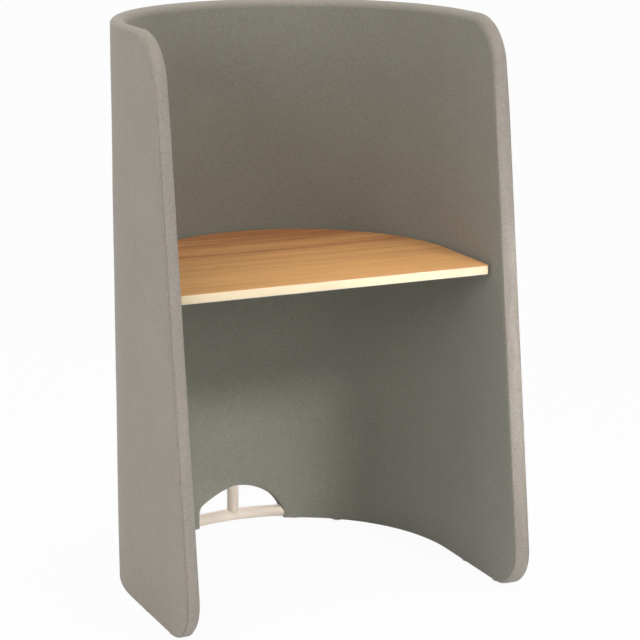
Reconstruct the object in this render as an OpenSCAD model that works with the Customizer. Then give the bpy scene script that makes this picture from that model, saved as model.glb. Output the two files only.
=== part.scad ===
// Study carrel: a curved screen of fabric over a bent steel tube frame, with a desk fixed inside it.
// Millimetres. +Z is up, the sitter faces +Y, and the origin is on the floor in the middle of the
// footprint. The wall runs round the back as a half circle and forward as two flat sides. Each sub-part is
// drawn about the half circle's centre, and placed() then brings the footprint's middle to the origin.

/* [Screen] */
// Outer radius of the half-round back, and half the outer width
outer_r = 410; // [380:5:460]
// Thickness of the upholstered wall
wall_t = 34; // [34:1:40]
// Overall height
height = 1270; // [1150:10:1400]
// How far the front edge stands forward of the back's centre at the floor
front_foot = 352; // [330:2:380]
// Lean of the front edge from upright, which brings it further forward at the floor
lean = 7.9753; // [7.5:0.0001:8.5]
// Corner radius of the side's outline at the top
corner_head = 117; // [110:1:125]
// Corner radius of the side's outline at the floor
corner_foot = 92; // [85:1:100]

/* [Frame] */
// Outer diameter of the frame tube
tube_d = 28; // [27:0.5:28.5]
// Wall thickness of the frame tube
tube_wall = 1.5; // [1.2:0.1:2]
// Distance of the side upright in front of the back's centre
upright_y = 55; // [52:1:60]
// Distance of the plug-in joint in front of the back's centre
joint_y = 15; // [12:1:18]

/* [Desk] */
// Height of the writing surface
desk_h = 730; // [700:5:760]
// Thickness of the desk
desk_t = 20; // [18:1:25]
// Radius of the desk's back edge
desk_r = 366; // [355:1:368]
// How far the desk runs in front of the back's centre
desk_front = 202; // [180:2:215]

/* [Cable arch] */
// How far the arch reaches to the right of the back upright
arch_right = 124; // [110:2:130]
// How far the arch reaches to the left of the back upright
arch_left = 98; // [90:2:110]
// Height of the arch above the floor
arch_h = 97; // [90:1:110]

/* [Feet] */
// Gap between the floor and the cover with the feet screwed home
foot_gap = 4; // [4:0.5:6]
// Outer diameter of a foot pad
pad_d = 24; // [20:1:28]

/* [Hidden] */
$fn = 96;
FOOT_NUMBERS = [1, 2, 3, 4, 5, 6];

// Layers of the wall, from each face inwards
fabric_t = 1.5;
wadding_t = 1.5;
slack = 0.3;                       // clearance of the wadding and the foam from the tubes
skin_t = fabric_t + wadding_t;
inner_r = outer_r - wall_t;
tube_r = tube_d / 2;
bore_r = tube_r - tube_wall;
mid_r = outer_r - wall_t / 2;      // the tubes' centre line
cover_z = foot_gap;                // lowest face of the cover
fit = 0.05;                        // radial clearance of a screw or sleeve in its hole

// The front edge's place in Y at a height, inset from the finished edge
function front_y(z, inset) = -front_foot + z * tan(lean) + inset / cos(lean);

// Heights of the rails, and where their bends turn into the front uprights
rail_low = cover_z + fabric_t + tube_r;
rail_high = height - skin_t - tube_r;
bend_head = corner_head - skin_t - tube_r;
bend_foot = corner_foot - skin_t - tube_r;
tube_inset = skin_t + tube_r;
head_y = front_y(rail_high - bend_head, tube_inset) + bend_head / cos(lean);
foot_y = front_y(rail_low + bend_foot, tube_inset) + bend_foot / cos(lean);
front_run = (rail_high - bend_head * (1 - sin(lean)) - rail_low - bend_foot * (1 + sin(lean))) / cos(lean);

// The foremost point of the cover is on its lower corner, and gives the middle of the footprint
foremost_y = front_y(cover_z + corner_foot, corner_foot) - corner_foot;
middle_y = (outer_r + foremost_y) / 2;

// Points of an arc in a flat outline
function arc(cx, cy, r, from, to, steps) =
    [for (i = [0 : steps]) let (a = from + (to - from) * i / steps) [cx + r * cos(a), cy + r * sin(a)]];

// Outline of a flat side in Y and Z, from y_back forward: inset from the finished edge at the front and
// the top, and by low_inset at the floor, where the wall has no wadding
function side_outline(inset, y_back, low_inset) = let (
        r_head = corner_head - inset,
        r_foot = corner_foot - inset,
        z_head = height - corner_head,
        z_foot = cover_z + corner_foot + low_inset - inset,
        y_head = front_y(z_head, corner_head),
        y_foot = front_y(z_foot, corner_foot)
    ) concat(
        [[y_back, z_foot - r_foot]],
        [for (p = arc(y_foot, z_foot, r_foot, 270, 180 - lean, 16)) p],
        [for (p = arc(y_head, z_head, r_head, 180 - lean, 90, 16)) p],
        [[y_back, height - inset]]
    );

// Outline of the cable arch in X and Z: a quarter ellipse on the right, and on the left a slanted
// shoulder that the cover is drawn to. Grown by some distance all round.
arch_quarter = 110;                // half width of the quarter ellipse
arch_crown = arch_right - arch_quarter;
arch_low = -20;                    // the outline runs on below the floor
function arch_outline(grow) = [
    for (p = concat(
        [[arch_right, arch_low]],
        [for (a = [0 : 6 : 90]) [arch_crown + arch_quarter * cos(a), arch_h * sin(a)]],
        [
            [-20, arch_h - 4], [-arch_left / 2, arch_h - 16], [-arch_left + 8, arch_h - 37],
            [-arch_left, arch_h - 48], [-arch_left, arch_low]
        ]
    )) [p[0] * (1 + grow / arch_left), p[1] * (1 + grow / arch_h)]
];

// ---------- shapes that repeat ----------

// Turns a flat shape drawn in Y and Z into a plate that is thick along X
module along_x(x, thick) {
    translate([x, 0, 0]) rotate([90, 0, 90]) linear_extrude(thick) children();
}

// Cross-section of the frame tube
module ring_section() {
    difference() {
        circle(r = tube_r);
        circle(r = bore_r);
    }
}

// A straight run of tube along +Z, with what follows it at its far end
module straight(length) {
    linear_extrude(length) ring_section();
    translate([0, 0, length]) children();
}

// A bend from +Z towards +X, with what follows it beyond its far end
module elbow(r, angle) {
    reach = 2 * (r + tube_d);
    difference() {
        translate([r, 0, 0]) rotate([90, 0, 0]) rotate_extrude() translate([r, 0]) ring_section();
        translate([-tube_d, -tube_d, -reach]) cube([reach, 2 * tube_d, reach]);
        beyond(r, angle) translate([-tube_d, -tube_d, 0]) cube([reach, 2 * tube_d, reach]);
    }
    beyond(r, angle) children();
}

module beyond(r, angle) {
    translate([r, 0, 0]) rotate([0, angle, 0]) translate([-r, 0, 0]) children();
}

// A layer of the wall: a half cylinder and two flat sides cut to the side's outline
module wall_layer(r_in, r_out, inset, low_inset) {
    z_low = cover_z + low_inset;
    rotate_extrude(angle = 180) translate([r_in, z_low]) square([r_out - r_in, height - inset - z_low]);
    for (x = [-r_out, r_in]) along_x(x, r_out - r_in) polygon(side_outline(inset, 0, low_inset));
}

// The arch as a block through the back wall
arch_margin = 20;                  // how far the block stands out behind the wall
arch_depth = wall_t + 80;          // the wall curves forward on both sides of the arch
module arch_block(grow) {
    translate([0, outer_r + arch_margin, 0]) rotate([90, 0, 0])
        linear_extrude(arch_depth) polygon(arch_outline(grow));
}

// Bracket fixings: two bolts through each bracket into an upright. Each points along its own +Z, from the
// back of the bracket's plate into the room.
bolt_drops = [26, 12];             // how far the bolts are under the desk
bolt_z = [for (drop = bolt_drops) desk_h - desk_t - drop];
plate_r = inner_r - 0.7;           // the plates stand just off the cover
plate_to_tube = plate_r - (mid_r - tube_r);
module at_fixings() {
    for (z = bolt_z) {
        translate([-plate_r, -upright_y, z]) rotate([0, 90, 0]) children();
        translate([plate_r, -upright_y, z]) rotate([0, -90, 0]) children();
        translate([0, plate_r, z]) rotate([90, 0, 0]) children();
    }
}

// Places of the levelling feet round the bottom rail
back_foot_angle = 52;              // from the joint of the side and the half round
front_foot_back = 21;              // how far the front foot is behind the low bend
middle_foot_forward = 25;          // how far the middle foot is in front of the side upright
half_feet = [
    [mid_r, foot_y + front_foot_back],
    [mid_r, -upright_y - middle_foot_forward],
    [mid_r * cos(back_foot_angle), mid_r * sin(back_foot_angle)]
];
function foot_place(i) = i <= 3 ? [-half_feet[i - 1][0], half_feet[i - 1][1], 0]
    : [half_feet[i - 4][0], half_feet[i - 4][1], 0];
module at_feet() {
    for (i = FOOT_NUMBERS) translate(foot_place(i)) children();
}

// ---------- cover ----------

fixing_hole_r = 6.3;               // hole in the cover and wadding round a bracket spacer
module fixing_holes() {
    at_fixings() translate([0, 0, plate_to_tube]) cylinder(r = fixing_hole_r, h = 10);
}

module outer_cover() {
    color([0.53, 0.51, 0.47]) difference() {
        wall_layer(outer_r - fabric_t, outer_r, 0, 0);
        arch_block(0);
    }
}

module inner_cover() {
    color([0.47, 0.46, 0.42]) difference() {
        wall_layer(inner_r, inner_r + fabric_t, 0, 0);
        arch_block(0);
        fixing_holes();
    }
}

// The strip sewn between the two faces of the cover, along the front edges and the top
module edge_gusset() {
    r_in = inner_r + fabric_t;
    width = wall_t - 2 * fabric_t;
    color([0.60, 0.58, 0.54]) union() {
        rotate_extrude(angle = 180) translate([r_in, height - fabric_t]) square([width, fabric_t]);
        for (x = [-r_in - width, r_in]) along_x(x, width) difference() {
            polygon(side_outline(0, 0, 0));
            polygon(side_outline(fabric_t, 1, fabric_t));
            translate([foot_y, 0]) square([front_foot, corner_foot / 2]);
        }
    }
}

// The flap that closes the cover under the bottom rail on one side of the arch: side is -1 or 1
module closing_flap(side) {
    r_in = inner_r + fabric_t + slack;
    width = wall_t - 2 * fabric_t - 2 * slack;
    color([0.35, 0.34, 0.32]) difference() {
        mirror([side < 0 ? 1 : 0, 0, 0]) {
            rotate_extrude(angle = 88) translate([r_in, cover_z]) square([width, fabric_t]);
            translate([r_in, foot_y, cover_z]) cube([width, -foot_y, fabric_t]);
        }
        arch_block(0);
        at_feet() translate([0, 0, cover_z - 1]) cylinder(r = insert_flange_r + 0.3, h = fabric_t + 2);
    }
}

// The strip that lines the arch between the two faces of the cover
module arch_facing() {
    color([0.42, 0.41, 0.38]) difference() {
        intersection() {
            rotate_extrude(angle = 180) translate([inner_r + fabric_t, cover_z + fabric_t])
                square([wall_t - 2 * fabric_t, 2 * arch_h]);
            arch_block(fabric_t);
        }
        arch_block(0);
        bottom_rail_solid(0.1);
        back_upright_solid(0.1);
    }
}

// ---------- wadding and core ----------

module outer_wadding() {
    color([0.90, 0.89, 0.86]) difference() {
        wall_layer(outer_r - skin_t + slack, outer_r - fabric_t, fabric_t, fabric_t);
        arch_block(fabric_t);
    }
}

module inner_wadding() {
    color([0.90, 0.89, 0.86]) difference() {
        wall_layer(inner_r + fabric_t, inner_r + skin_t - slack, fabric_t, fabric_t);
        arch_block(fabric_t);
        fixing_holes();
    }
}

// The strip of wadding between the tubes and the edge gusset
module edge_wadding() {
    r_in = inner_r + skin_t;
    color([0.90, 0.89, 0.86]) union() {
        rotate_extrude(angle = 180) translate([r_in, height - skin_t + slack])
            square([tube_d, wadding_t - slack]);
        for (x = [-r_in - tube_d, r_in]) along_x(x, tube_d) difference() {
            polygon(side_outline(fabric_t, 0, fabric_t));
            polygon(side_outline(skin_t - slack, 1, fabric_t));
            translate([foot_y, 0]) square([front_foot, corner_foot / 2]);
        }
    }
}

// Foam between the front tube and the side upright: side is -1 or 1
core_t = tube_d - 2 * slack;
module side_core(side) {
    inset = tube_inset + tube_r + slack;
    x = side < 0 ? -mid_r - core_t / 2 : mid_r - core_t / 2;
    color([0.85, 0.84, 0.78]) along_x(x, core_t)
        polygon(side_outline(inset, -upright_y - tube_r - slack, inset - wadding_t));
}

// Foam between the side upright and the back upright, with its half of the arch
module back_core(side) {
    z_low = rail_low + tube_r + slack;
    z_high = rail_high - tube_r - slack;
    y_front = upright_y - tube_r - slack;
    r_in = mid_r - core_t / 2;
    end_angle = 90 - asin((tube_r + slack) / r_in);
    color([0.85, 0.84, 0.78]) difference() {
        mirror([side < 0 ? 1 : 0, 0, 0]) {
            rotate_extrude(angle = end_angle) translate([r_in, z_low]) square([core_t, z_high - z_low]);
            translate([r_in, -y_front, z_low]) cube([core_t, y_front, z_high - z_low]);
        }
        arch_block(fabric_t + slack);
    }
}

// ---------- frame ----------

// Holes for the bracket nuts in an upright, and for the feet in a rail
nut_r = 4.5;
insert_r = 5.5;
insert_flange_r = 7;
module nut_holes() {
    at_fixings() translate([0, 0, plate_to_tube - tube_r]) cylinder(r = nut_r + fit, h = tube_r + 2);
}
module foot_holes() {
    at_feet() cylinder(r = insert_r + fit, h = rail_low);
}

// Screws that hold a tube on its joint spigot, from the inside of the wall
joint_screw_r = 2.5;
joint_screw_length = 5.5;
joint_screw_hex_r = 1.4;
joint_screw_hex_depth = 2.5;
spigot_half = 28;
joint_screw_ys = [-joint_y - spigot_half / 2, -joint_y + spigot_half / 2];
module at_joint_screws() {
    for (side = [-1, 1], y = joint_screw_ys, z = [rail_low, rail_high])
        translate([side * (mid_r - tube_r), y, z]) rotate([0, side * 90, 0]) children();
}
module joint_screw_holes() {
    at_joint_screws() translate([0, 0, -2]) cylinder(r = joint_screw_r + fit, h = tube_r);
}

// One bent tube: forward along the top, down the leaning front edge and back along the floor
joint_gap = 0.05;
module front_tube(side) {
    end_y = -joint_y - joint_gap;
    color([0.88, 0.83, 0.78]) difference() {
        translate([side * mid_r, end_y, rail_high]) rotate([90, 0, 0]) rotate([0, 0, -90])
            straight(end_y - head_y) elbow(bend_head, 90 - lean) straight(front_run)
            elbow(bend_foot, 90 + lean) straight(end_y - foot_y);
        foot_holes();
        joint_screw_holes();
    }
}

weld_gap = 0.5;
module side_upright(side) {
    color([0.88, 0.83, 0.78]) difference() {
        translate([side * mid_r, -upright_y, rail_low]) linear_extrude(rail_high - rail_low) ring_section();
        for (z = [rail_low, rail_high])
            translate([side * mid_r, -upright_y - tube_d, z]) rotate([-90, 0, 0])
                cylinder(r = tube_r + weld_gap, h = 2 * tube_d);
        nut_holes();
    }
}

// A half-round rail with a short straight end for each joint
module back_rail(z) {
    translate([0, 0, z]) rotate_extrude(angle = 180) translate([mid_r, 0]) ring_section();
    for (side = [-1, 1]) translate([side * mid_r, 0, z]) rotate([90, 0, 0]) straight(joint_y - joint_gap);
}

module top_back_rail() {
    color([0.88, 0.83, 0.78]) difference() {
        back_rail(rail_high);
        joint_screw_holes();
    }
}

module bottom_back_rail() {
    color([0.88, 0.83, 0.78]) difference() {
        back_rail(rail_low);
        joint_screw_holes();
        foot_holes();
    }
}

// The bottom rail as a solid bar, grown by some clearance, to cut other pieces with
module bottom_rail_solid(grow) {
    translate([0, 0, rail_low]) rotate_extrude(angle = 180) translate([mid_r, 0]) circle(r = tube_r + grow);
}

module back_upright_solid(grow) {
    translate([0, mid_r, rail_low]) cylinder(r = tube_r + grow, h = rail_high - rail_low);
}

module back_upright() {
    color([0.88, 0.83, 0.78]) difference() {
        translate([0, mid_r, rail_low]) linear_extrude(rail_high - rail_low) ring_section();
        for (z = [rail_low, rail_high]) translate([0, 0, z])
            rotate_extrude(angle = 180) translate([mid_r, 0]) circle(r = tube_r + fit);
        nut_holes();
    }
}

// Sleeves inside the rails where the sides plug into the back
spigot_r = bore_r - 0.5;
spigot_wall = 3;
module joint_spigots() {
    color([0.62, 0.62, 0.62]) difference() {
        for (side = [-1, 1], z = [rail_low, rail_high])
            translate([side * mid_r, -joint_y - spigot_half, z]) rotate([-90, 0, 0])
                difference() {
                    cylinder(r = spigot_r, h = 2 * spigot_half);
                    translate([0, 0, -1]) cylinder(r = spigot_r - spigot_wall, h = 2 * spigot_half + 2);
                }
        joint_screw_holes();
    }
}

module joint_screws() {
    color([0.55, 0.55, 0.56]) at_joint_screws() translate([0, 0, slack]) difference() {
        cylinder(r = joint_screw_r, h = joint_screw_length);
        translate([0, 0, -1]) cylinder(r = joint_screw_hex_r, h = joint_screw_hex_depth + 1, $fn = 6);
    }
}

// ---------- desk ----------

laminate_t = 0.8;
band_t = 1.5;
desk_corner = 8;
screw_r = 2;
screw_bite = 13;
screw_head_r = 4;
screw_head_t = 2.2;
screw_row = [mid_r - 90, mid_r - 45];    // distances of a bracket's screws from the back's centre
module at_desk_screws() {
    for (side = [-1, 1], x = screw_row) translate([side * x, -upright_y, desk_h - desk_t]) children();
    for (y = screw_row) translate([0, y, desk_h - desk_t]) children();
}

// The desk from above, inset from its edge: a half circle, a rectangle and two small rounded corners
module desk_shape(inset) {
    half = desk_r - inset;
    front = -desk_front + inset;
    corner = desk_corner - inset;
    intersection() {
        circle(r = half);
        translate([-half, 0]) square([2 * half, half]);
    }
    translate([-half, front + corner]) square([2 * half, -front - corner]);
    translate([-half + corner, front]) square([2 * (half - corner), corner]);
    for (side = [-1, 1]) translate([side * (half - corner), front + corner]) circle(r = corner);
}

module desk_core() {
    color([0.78, 0.66, 0.48]) difference() {
        translate([0, 0, desk_h - desk_t + laminate_t])
            linear_extrude(desk_t - 2 * laminate_t) desk_shape(band_t);
        at_desk_screws() cylinder(r = screw_r + fit, h = screw_bite + 0.5);
    }
}

module desk_top_laminate() {
    color([0.72, 0.49, 0.29]) translate([0, 0, desk_h - laminate_t])
        linear_extrude(laminate_t) desk_shape(0);
}

module desk_backing_laminate() {
    color([0.85, 0.82, 0.76]) difference() {
        translate([0, 0, desk_h - desk_t]) linear_extrude(laminate_t) desk_shape(0);
        at_desk_screws() translate([0, 0, -1]) cylinder(r = screw_r + fit, h = 3);
    }
}

module desk_edge_band() {
    color([0.96, 0.87, 0.68]) translate([0, 0, desk_h - desk_t + laminate_t])
        linear_extrude(desk_t - 2 * laminate_t) difference() {
            desk_shape(0);
            desk_shape(band_t);
        }
}

module desk_screws() {
    color([0.66, 0.66, 0.67]) at_desk_screws() union() {
        translate([0, 0, -bracket_t]) cylinder(r = screw_r, h = bracket_t + screw_bite);
        translate([0, 0, -bracket_t - screw_head_t]) cylinder(r = screw_head_r, h = screw_head_t);
    }
}

// ---------- brackets ----------

bracket_t = 4;
bracket_w = 30;
bracket_h = 34;
bracket_reach = 90;
web_t = 3;

// A shelf bracket with its plate's back on the plane y = 0, its shelf at z = 0 and reaching along -Y
web_end = 10;                      // how far the webs stop short of the shelf's end
web_rise = 2;                      // and of the plate's lower edge
bolt_hole_r = 3.2;
screw_hole_r = screw_r + 0.3;
module bracket() {
    difference() {
        union() {
            translate([-bracket_w / 2, -bracket_t, -bracket_h]) cube([bracket_w, bracket_t, bracket_h]);
            translate([-bracket_w / 2, -bracket_reach, -bracket_t])
                cube([bracket_w, bracket_reach - bracket_t, bracket_t]);
            for (x = [-bracket_w / 2, bracket_w / 2 - web_t]) translate([x, 0, 0]) rotate([90, 0, 90])
                linear_extrude(web_t) polygon([
                    [-bracket_t, -bracket_t], [-bracket_reach + web_end, -bracket_t],
                    [-bracket_t, -bracket_h + web_rise]
                ]);
        }
        for (drop = bolt_drops) translate([0, 1, -drop]) rotate([90, 0, 0])
            cylinder(r = bolt_hole_r, h = bracket_t + 2);
        for (y = screw_row) translate([0, y - plate_r, -bracket_t - 1])
            cylinder(r = screw_hole_r, h = bracket_t + 2);
    }
}

module side_bracket(side) {
    color([0.30, 0.30, 0.31]) translate([side * plate_r, -upright_y, desk_h - desk_t])
        rotate([0, 0, -side * 90]) bracket();
}

module back_bracket() {
    color([0.30, 0.30, 0.31]) translate([0, plate_r, desk_h - desk_t]) bracket();
}

bolt_r = 3;
bolt_head_r = 5.25;
bolt_head_t = 3.2;
bolt_hex_r = 2.3;
bolt_hex_depth = 2;
spacer_r = 6;                      // also the flange of the rivet nut under it
nut_flange_t = 1;
nut_length = 11.5;
module bracket_bolts() {
    color([0.62, 0.62, 0.63]) at_fixings() difference() {
        union() {
            translate([0, 0, plate_to_tube - nut_length + 1])
                cylinder(r = bolt_r, h = bracket_t + nut_length - plate_to_tube);
            translate([0, 0, bracket_t]) cylinder(r = bolt_head_r, h = bolt_head_t);
        }
        translate([0, 0, bracket_t + bolt_head_t - bolt_hex_depth])
            cylinder(r = bolt_hex_r, h = bolt_hex_depth + 1, $fn = 6);
    }
}

module bracket_spacers() {
    color([0.62, 0.62, 0.63]) at_fixings() difference() {
        translate([0, 0, plate_to_tube + nut_flange_t])
            cylinder(r = spacer_r, h = -plate_to_tube - nut_flange_t);
        translate([0, 0, plate_to_tube]) cylinder(r = bolt_r + 0.3, h = 1 - plate_to_tube);
    }
}

module bracket_rivet_nuts() {
    color([0.74, 0.72, 0.60]) at_fixings() translate([0, 0, plate_to_tube]) difference() {
        union() {
            cylinder(r = spacer_r, h = nut_flange_t);
            translate([0, 0, -nut_length]) cylinder(r = nut_r, h = nut_length);
        }
        translate([0, 0, -nut_length - 1]) cylinder(r = bolt_r + fit, h = nut_length + 4);
    }
}

// ---------- feet ----------

stud_r = 4;
stud_top = rail_low + bore_r - 2;
insert_top = rail_low + 2;
pad_top = foot_gap - 0.2;
socket_r = 4.9;                    // the stud's flange turns in this pocket of the pad
socket_low = 1.6;
socket_high = pad_top - 0.7;
running = 0.1;

module foot_inserts() {
    color([0.74, 0.72, 0.60]) at_feet() difference() {
        union() {
            translate([0, 0, cover_z]) cylinder(r = insert_flange_r, h = fabric_t);
            translate([0, 0, cover_z + fabric_t]) cylinder(r = insert_r, h = insert_top - cover_z - fabric_t);
        }
        translate([0, 0, cover_z - 1]) cylinder(r = stud_r + fit, h = insert_top);
    }
}

module foot_pad(i) {
    color([0.86, 0.85, 0.82]) translate(foot_place(i)) difference() {
        union() {
            cylinder(r1 = pad_d / 2 - 1, r2 = pad_d / 2, h = 1);
            translate([0, 0, 1]) cylinder(r = pad_d / 2, h = pad_top - 1);
        }
        translate([0, 0, socket_low]) cylinder(r = socket_r, h = socket_high - socket_low);
        translate([0, 0, socket_high - 1]) cylinder(r = stud_r + running, h = 3);
    }
}

module foot_stud(i) {
    color([0.66, 0.66, 0.67]) translate(foot_place(i)) union() {
        translate([0, 0, socket_low + fit])
            cylinder(r = socket_r - running, h = socket_high - socket_low - 2 * fit);
        translate([0, 0, socket_high - 1]) cylinder(r = stud_r, h = stud_top - socket_high + 1);
    }
}

// Brings the middle of the footprint to the origin
module placed() {
    translate([0, -middle_y, 0]) children();
}

// ---------- nodes ----------

placed() outer_cover();
placed() inner_cover();
placed() edge_gusset();
placed() arch_facing();
placed() closing_flap(-1);  // left_closing_flap
placed() closing_flap(1);  // right_closing_flap
placed() outer_wadding();
placed() inner_wadding();
placed() edge_wadding();
placed() side_core(-1);  // left_side_core
placed() side_core(1);  // right_side_core
placed() back_core(-1);  // left_back_core
placed() back_core(1);  // right_back_core
placed() front_tube(-1);  // left_front_tube
placed() front_tube(1);  // right_front_tube
placed() side_upright(-1);  // left_side_upright
placed() side_upright(1);  // right_side_upright
placed() top_back_rail();
placed() bottom_back_rail();
placed() back_upright();
placed() joint_spigots();
placed() joint_screws();
placed() desk_core();
placed() desk_top_laminate();
placed() desk_backing_laminate();
placed() desk_edge_band();
placed() side_bracket(-1);  // left_bracket
placed() side_bracket(1);  // right_bracket
placed() back_bracket();
placed() bracket_bolts();
placed() bracket_spacers();
placed() bracket_rivet_nuts();
placed() desk_screws();
placed() foot_inserts();
for (i = FOOT_NUMBERS) {
    placed() foot_pad(i);
    placed() foot_stud(i);
}
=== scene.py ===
"""Study carrel: the looks of its upholstered wall, desk, tube frame and feet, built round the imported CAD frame.

Sizes are written in millimetres, as a workshop would, and turned into metres where a mesh is made. The wall is
laid out flat first: `t` runs along the wall from the middle of the back (right is positive), `z` is the height
and `w` goes through the thickness, outwards from the middle of the wall.
"""

import logging
import math
from dataclasses import dataclass, field
from enum import Enum
from typing import Any, Iterable, Optional, Sequence

import bmesh
import bpy
import numpy as np
from mathutils import Matrix, Vector, noise


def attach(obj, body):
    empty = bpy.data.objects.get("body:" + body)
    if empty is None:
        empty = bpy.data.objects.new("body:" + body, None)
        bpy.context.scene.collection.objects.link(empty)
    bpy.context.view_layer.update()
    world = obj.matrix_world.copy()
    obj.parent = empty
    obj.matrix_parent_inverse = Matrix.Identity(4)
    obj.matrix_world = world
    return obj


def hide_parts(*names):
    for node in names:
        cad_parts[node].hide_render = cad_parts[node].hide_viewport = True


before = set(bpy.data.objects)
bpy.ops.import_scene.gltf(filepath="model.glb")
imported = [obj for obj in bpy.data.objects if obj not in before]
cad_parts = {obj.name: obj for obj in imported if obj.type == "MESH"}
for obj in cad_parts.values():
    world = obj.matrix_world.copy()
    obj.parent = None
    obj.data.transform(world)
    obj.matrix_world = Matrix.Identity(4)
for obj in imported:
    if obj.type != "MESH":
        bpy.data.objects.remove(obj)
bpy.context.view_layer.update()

MM = 0.001
WAVE_LENGTH = 0.314  # length of one band of the wave pattern at scale 1, in metres
LOG = logging.getLogger("study_carrel")


def walked(points: np.ndarray) -> np.ndarray:
    """Gives how far each of a line's points is along the line."""
    return np.concatenate([[0], np.cumsum(np.linalg.norm(np.diff(points, axis=0), axis=1))])


Rgba = tuple[float, float, float, float]


class Colour:
    """Colours written as a paint card gives them, in sRGB from 0 to 255."""

    @staticmethod
    def linear(red: float, green: float, blue: float) -> Rgba:
        """Turns an sRGB colour into the linear one that a shader takes.

        Args:
            red: Red, from 0 to 255.
            green: Green, from 0 to 255.
            blue: Blue, from 0 to 255.

        Returns:
            Linear red, green, blue and a full alpha.
        """
        channels = []
        for value in (red, green, blue):
            c = value / 255
            channels.append(c / 12.92 if c <= 0.04045 else ((c + 0.055) / 1.055) ** 2.4)
        return (channels[0], channels[1], channels[2], 1.0)

    @staticmethod
    def tinted(colour: Sequence[float], tint: Sequence[float]) -> Rgba:
        """Returns a linear colour with each channel multiplied by its own factor."""
        return (colour[0] * tint[0], colour[1] * tint[1], colour[2] * tint[2], 1.0)

    @staticmethod
    def grey(level: float) -> Rgba:
        """Returns a linear grey."""
        return (level, level, level, 1.0)

    @staticmethod
    def scaled(colour: Sequence[float], factor: float) -> Rgba:
        """Returns a linear colour made lighter or darker by a factor."""
        return Colour.tinted(colour, (factor, factor, factor))

    @staticmethod
    def between(first: Sequence[float], second: Sequence[float], share: float) -> Rgba:
        """Returns the colour that lies a share of the way from the first to the second."""
        a, b, c = (x + (y - x) * share for x, y in zip(first[:3], second[:3]))
        return (a, b, c, 1.0)


class Face(Enum):
    """The wall's two faces, by the sign of w."""

    OUTER = 1
    INNER = -1


class Hand(Enum):
    """The carrel's two sides, by the sign of t."""

    LEFT = -1
    RIGHT = 1


class Coordinates(Enum):
    """Where a pattern takes its place from."""

    OBJECT = "Object"
    LAID_FLAT = "UV"


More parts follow.
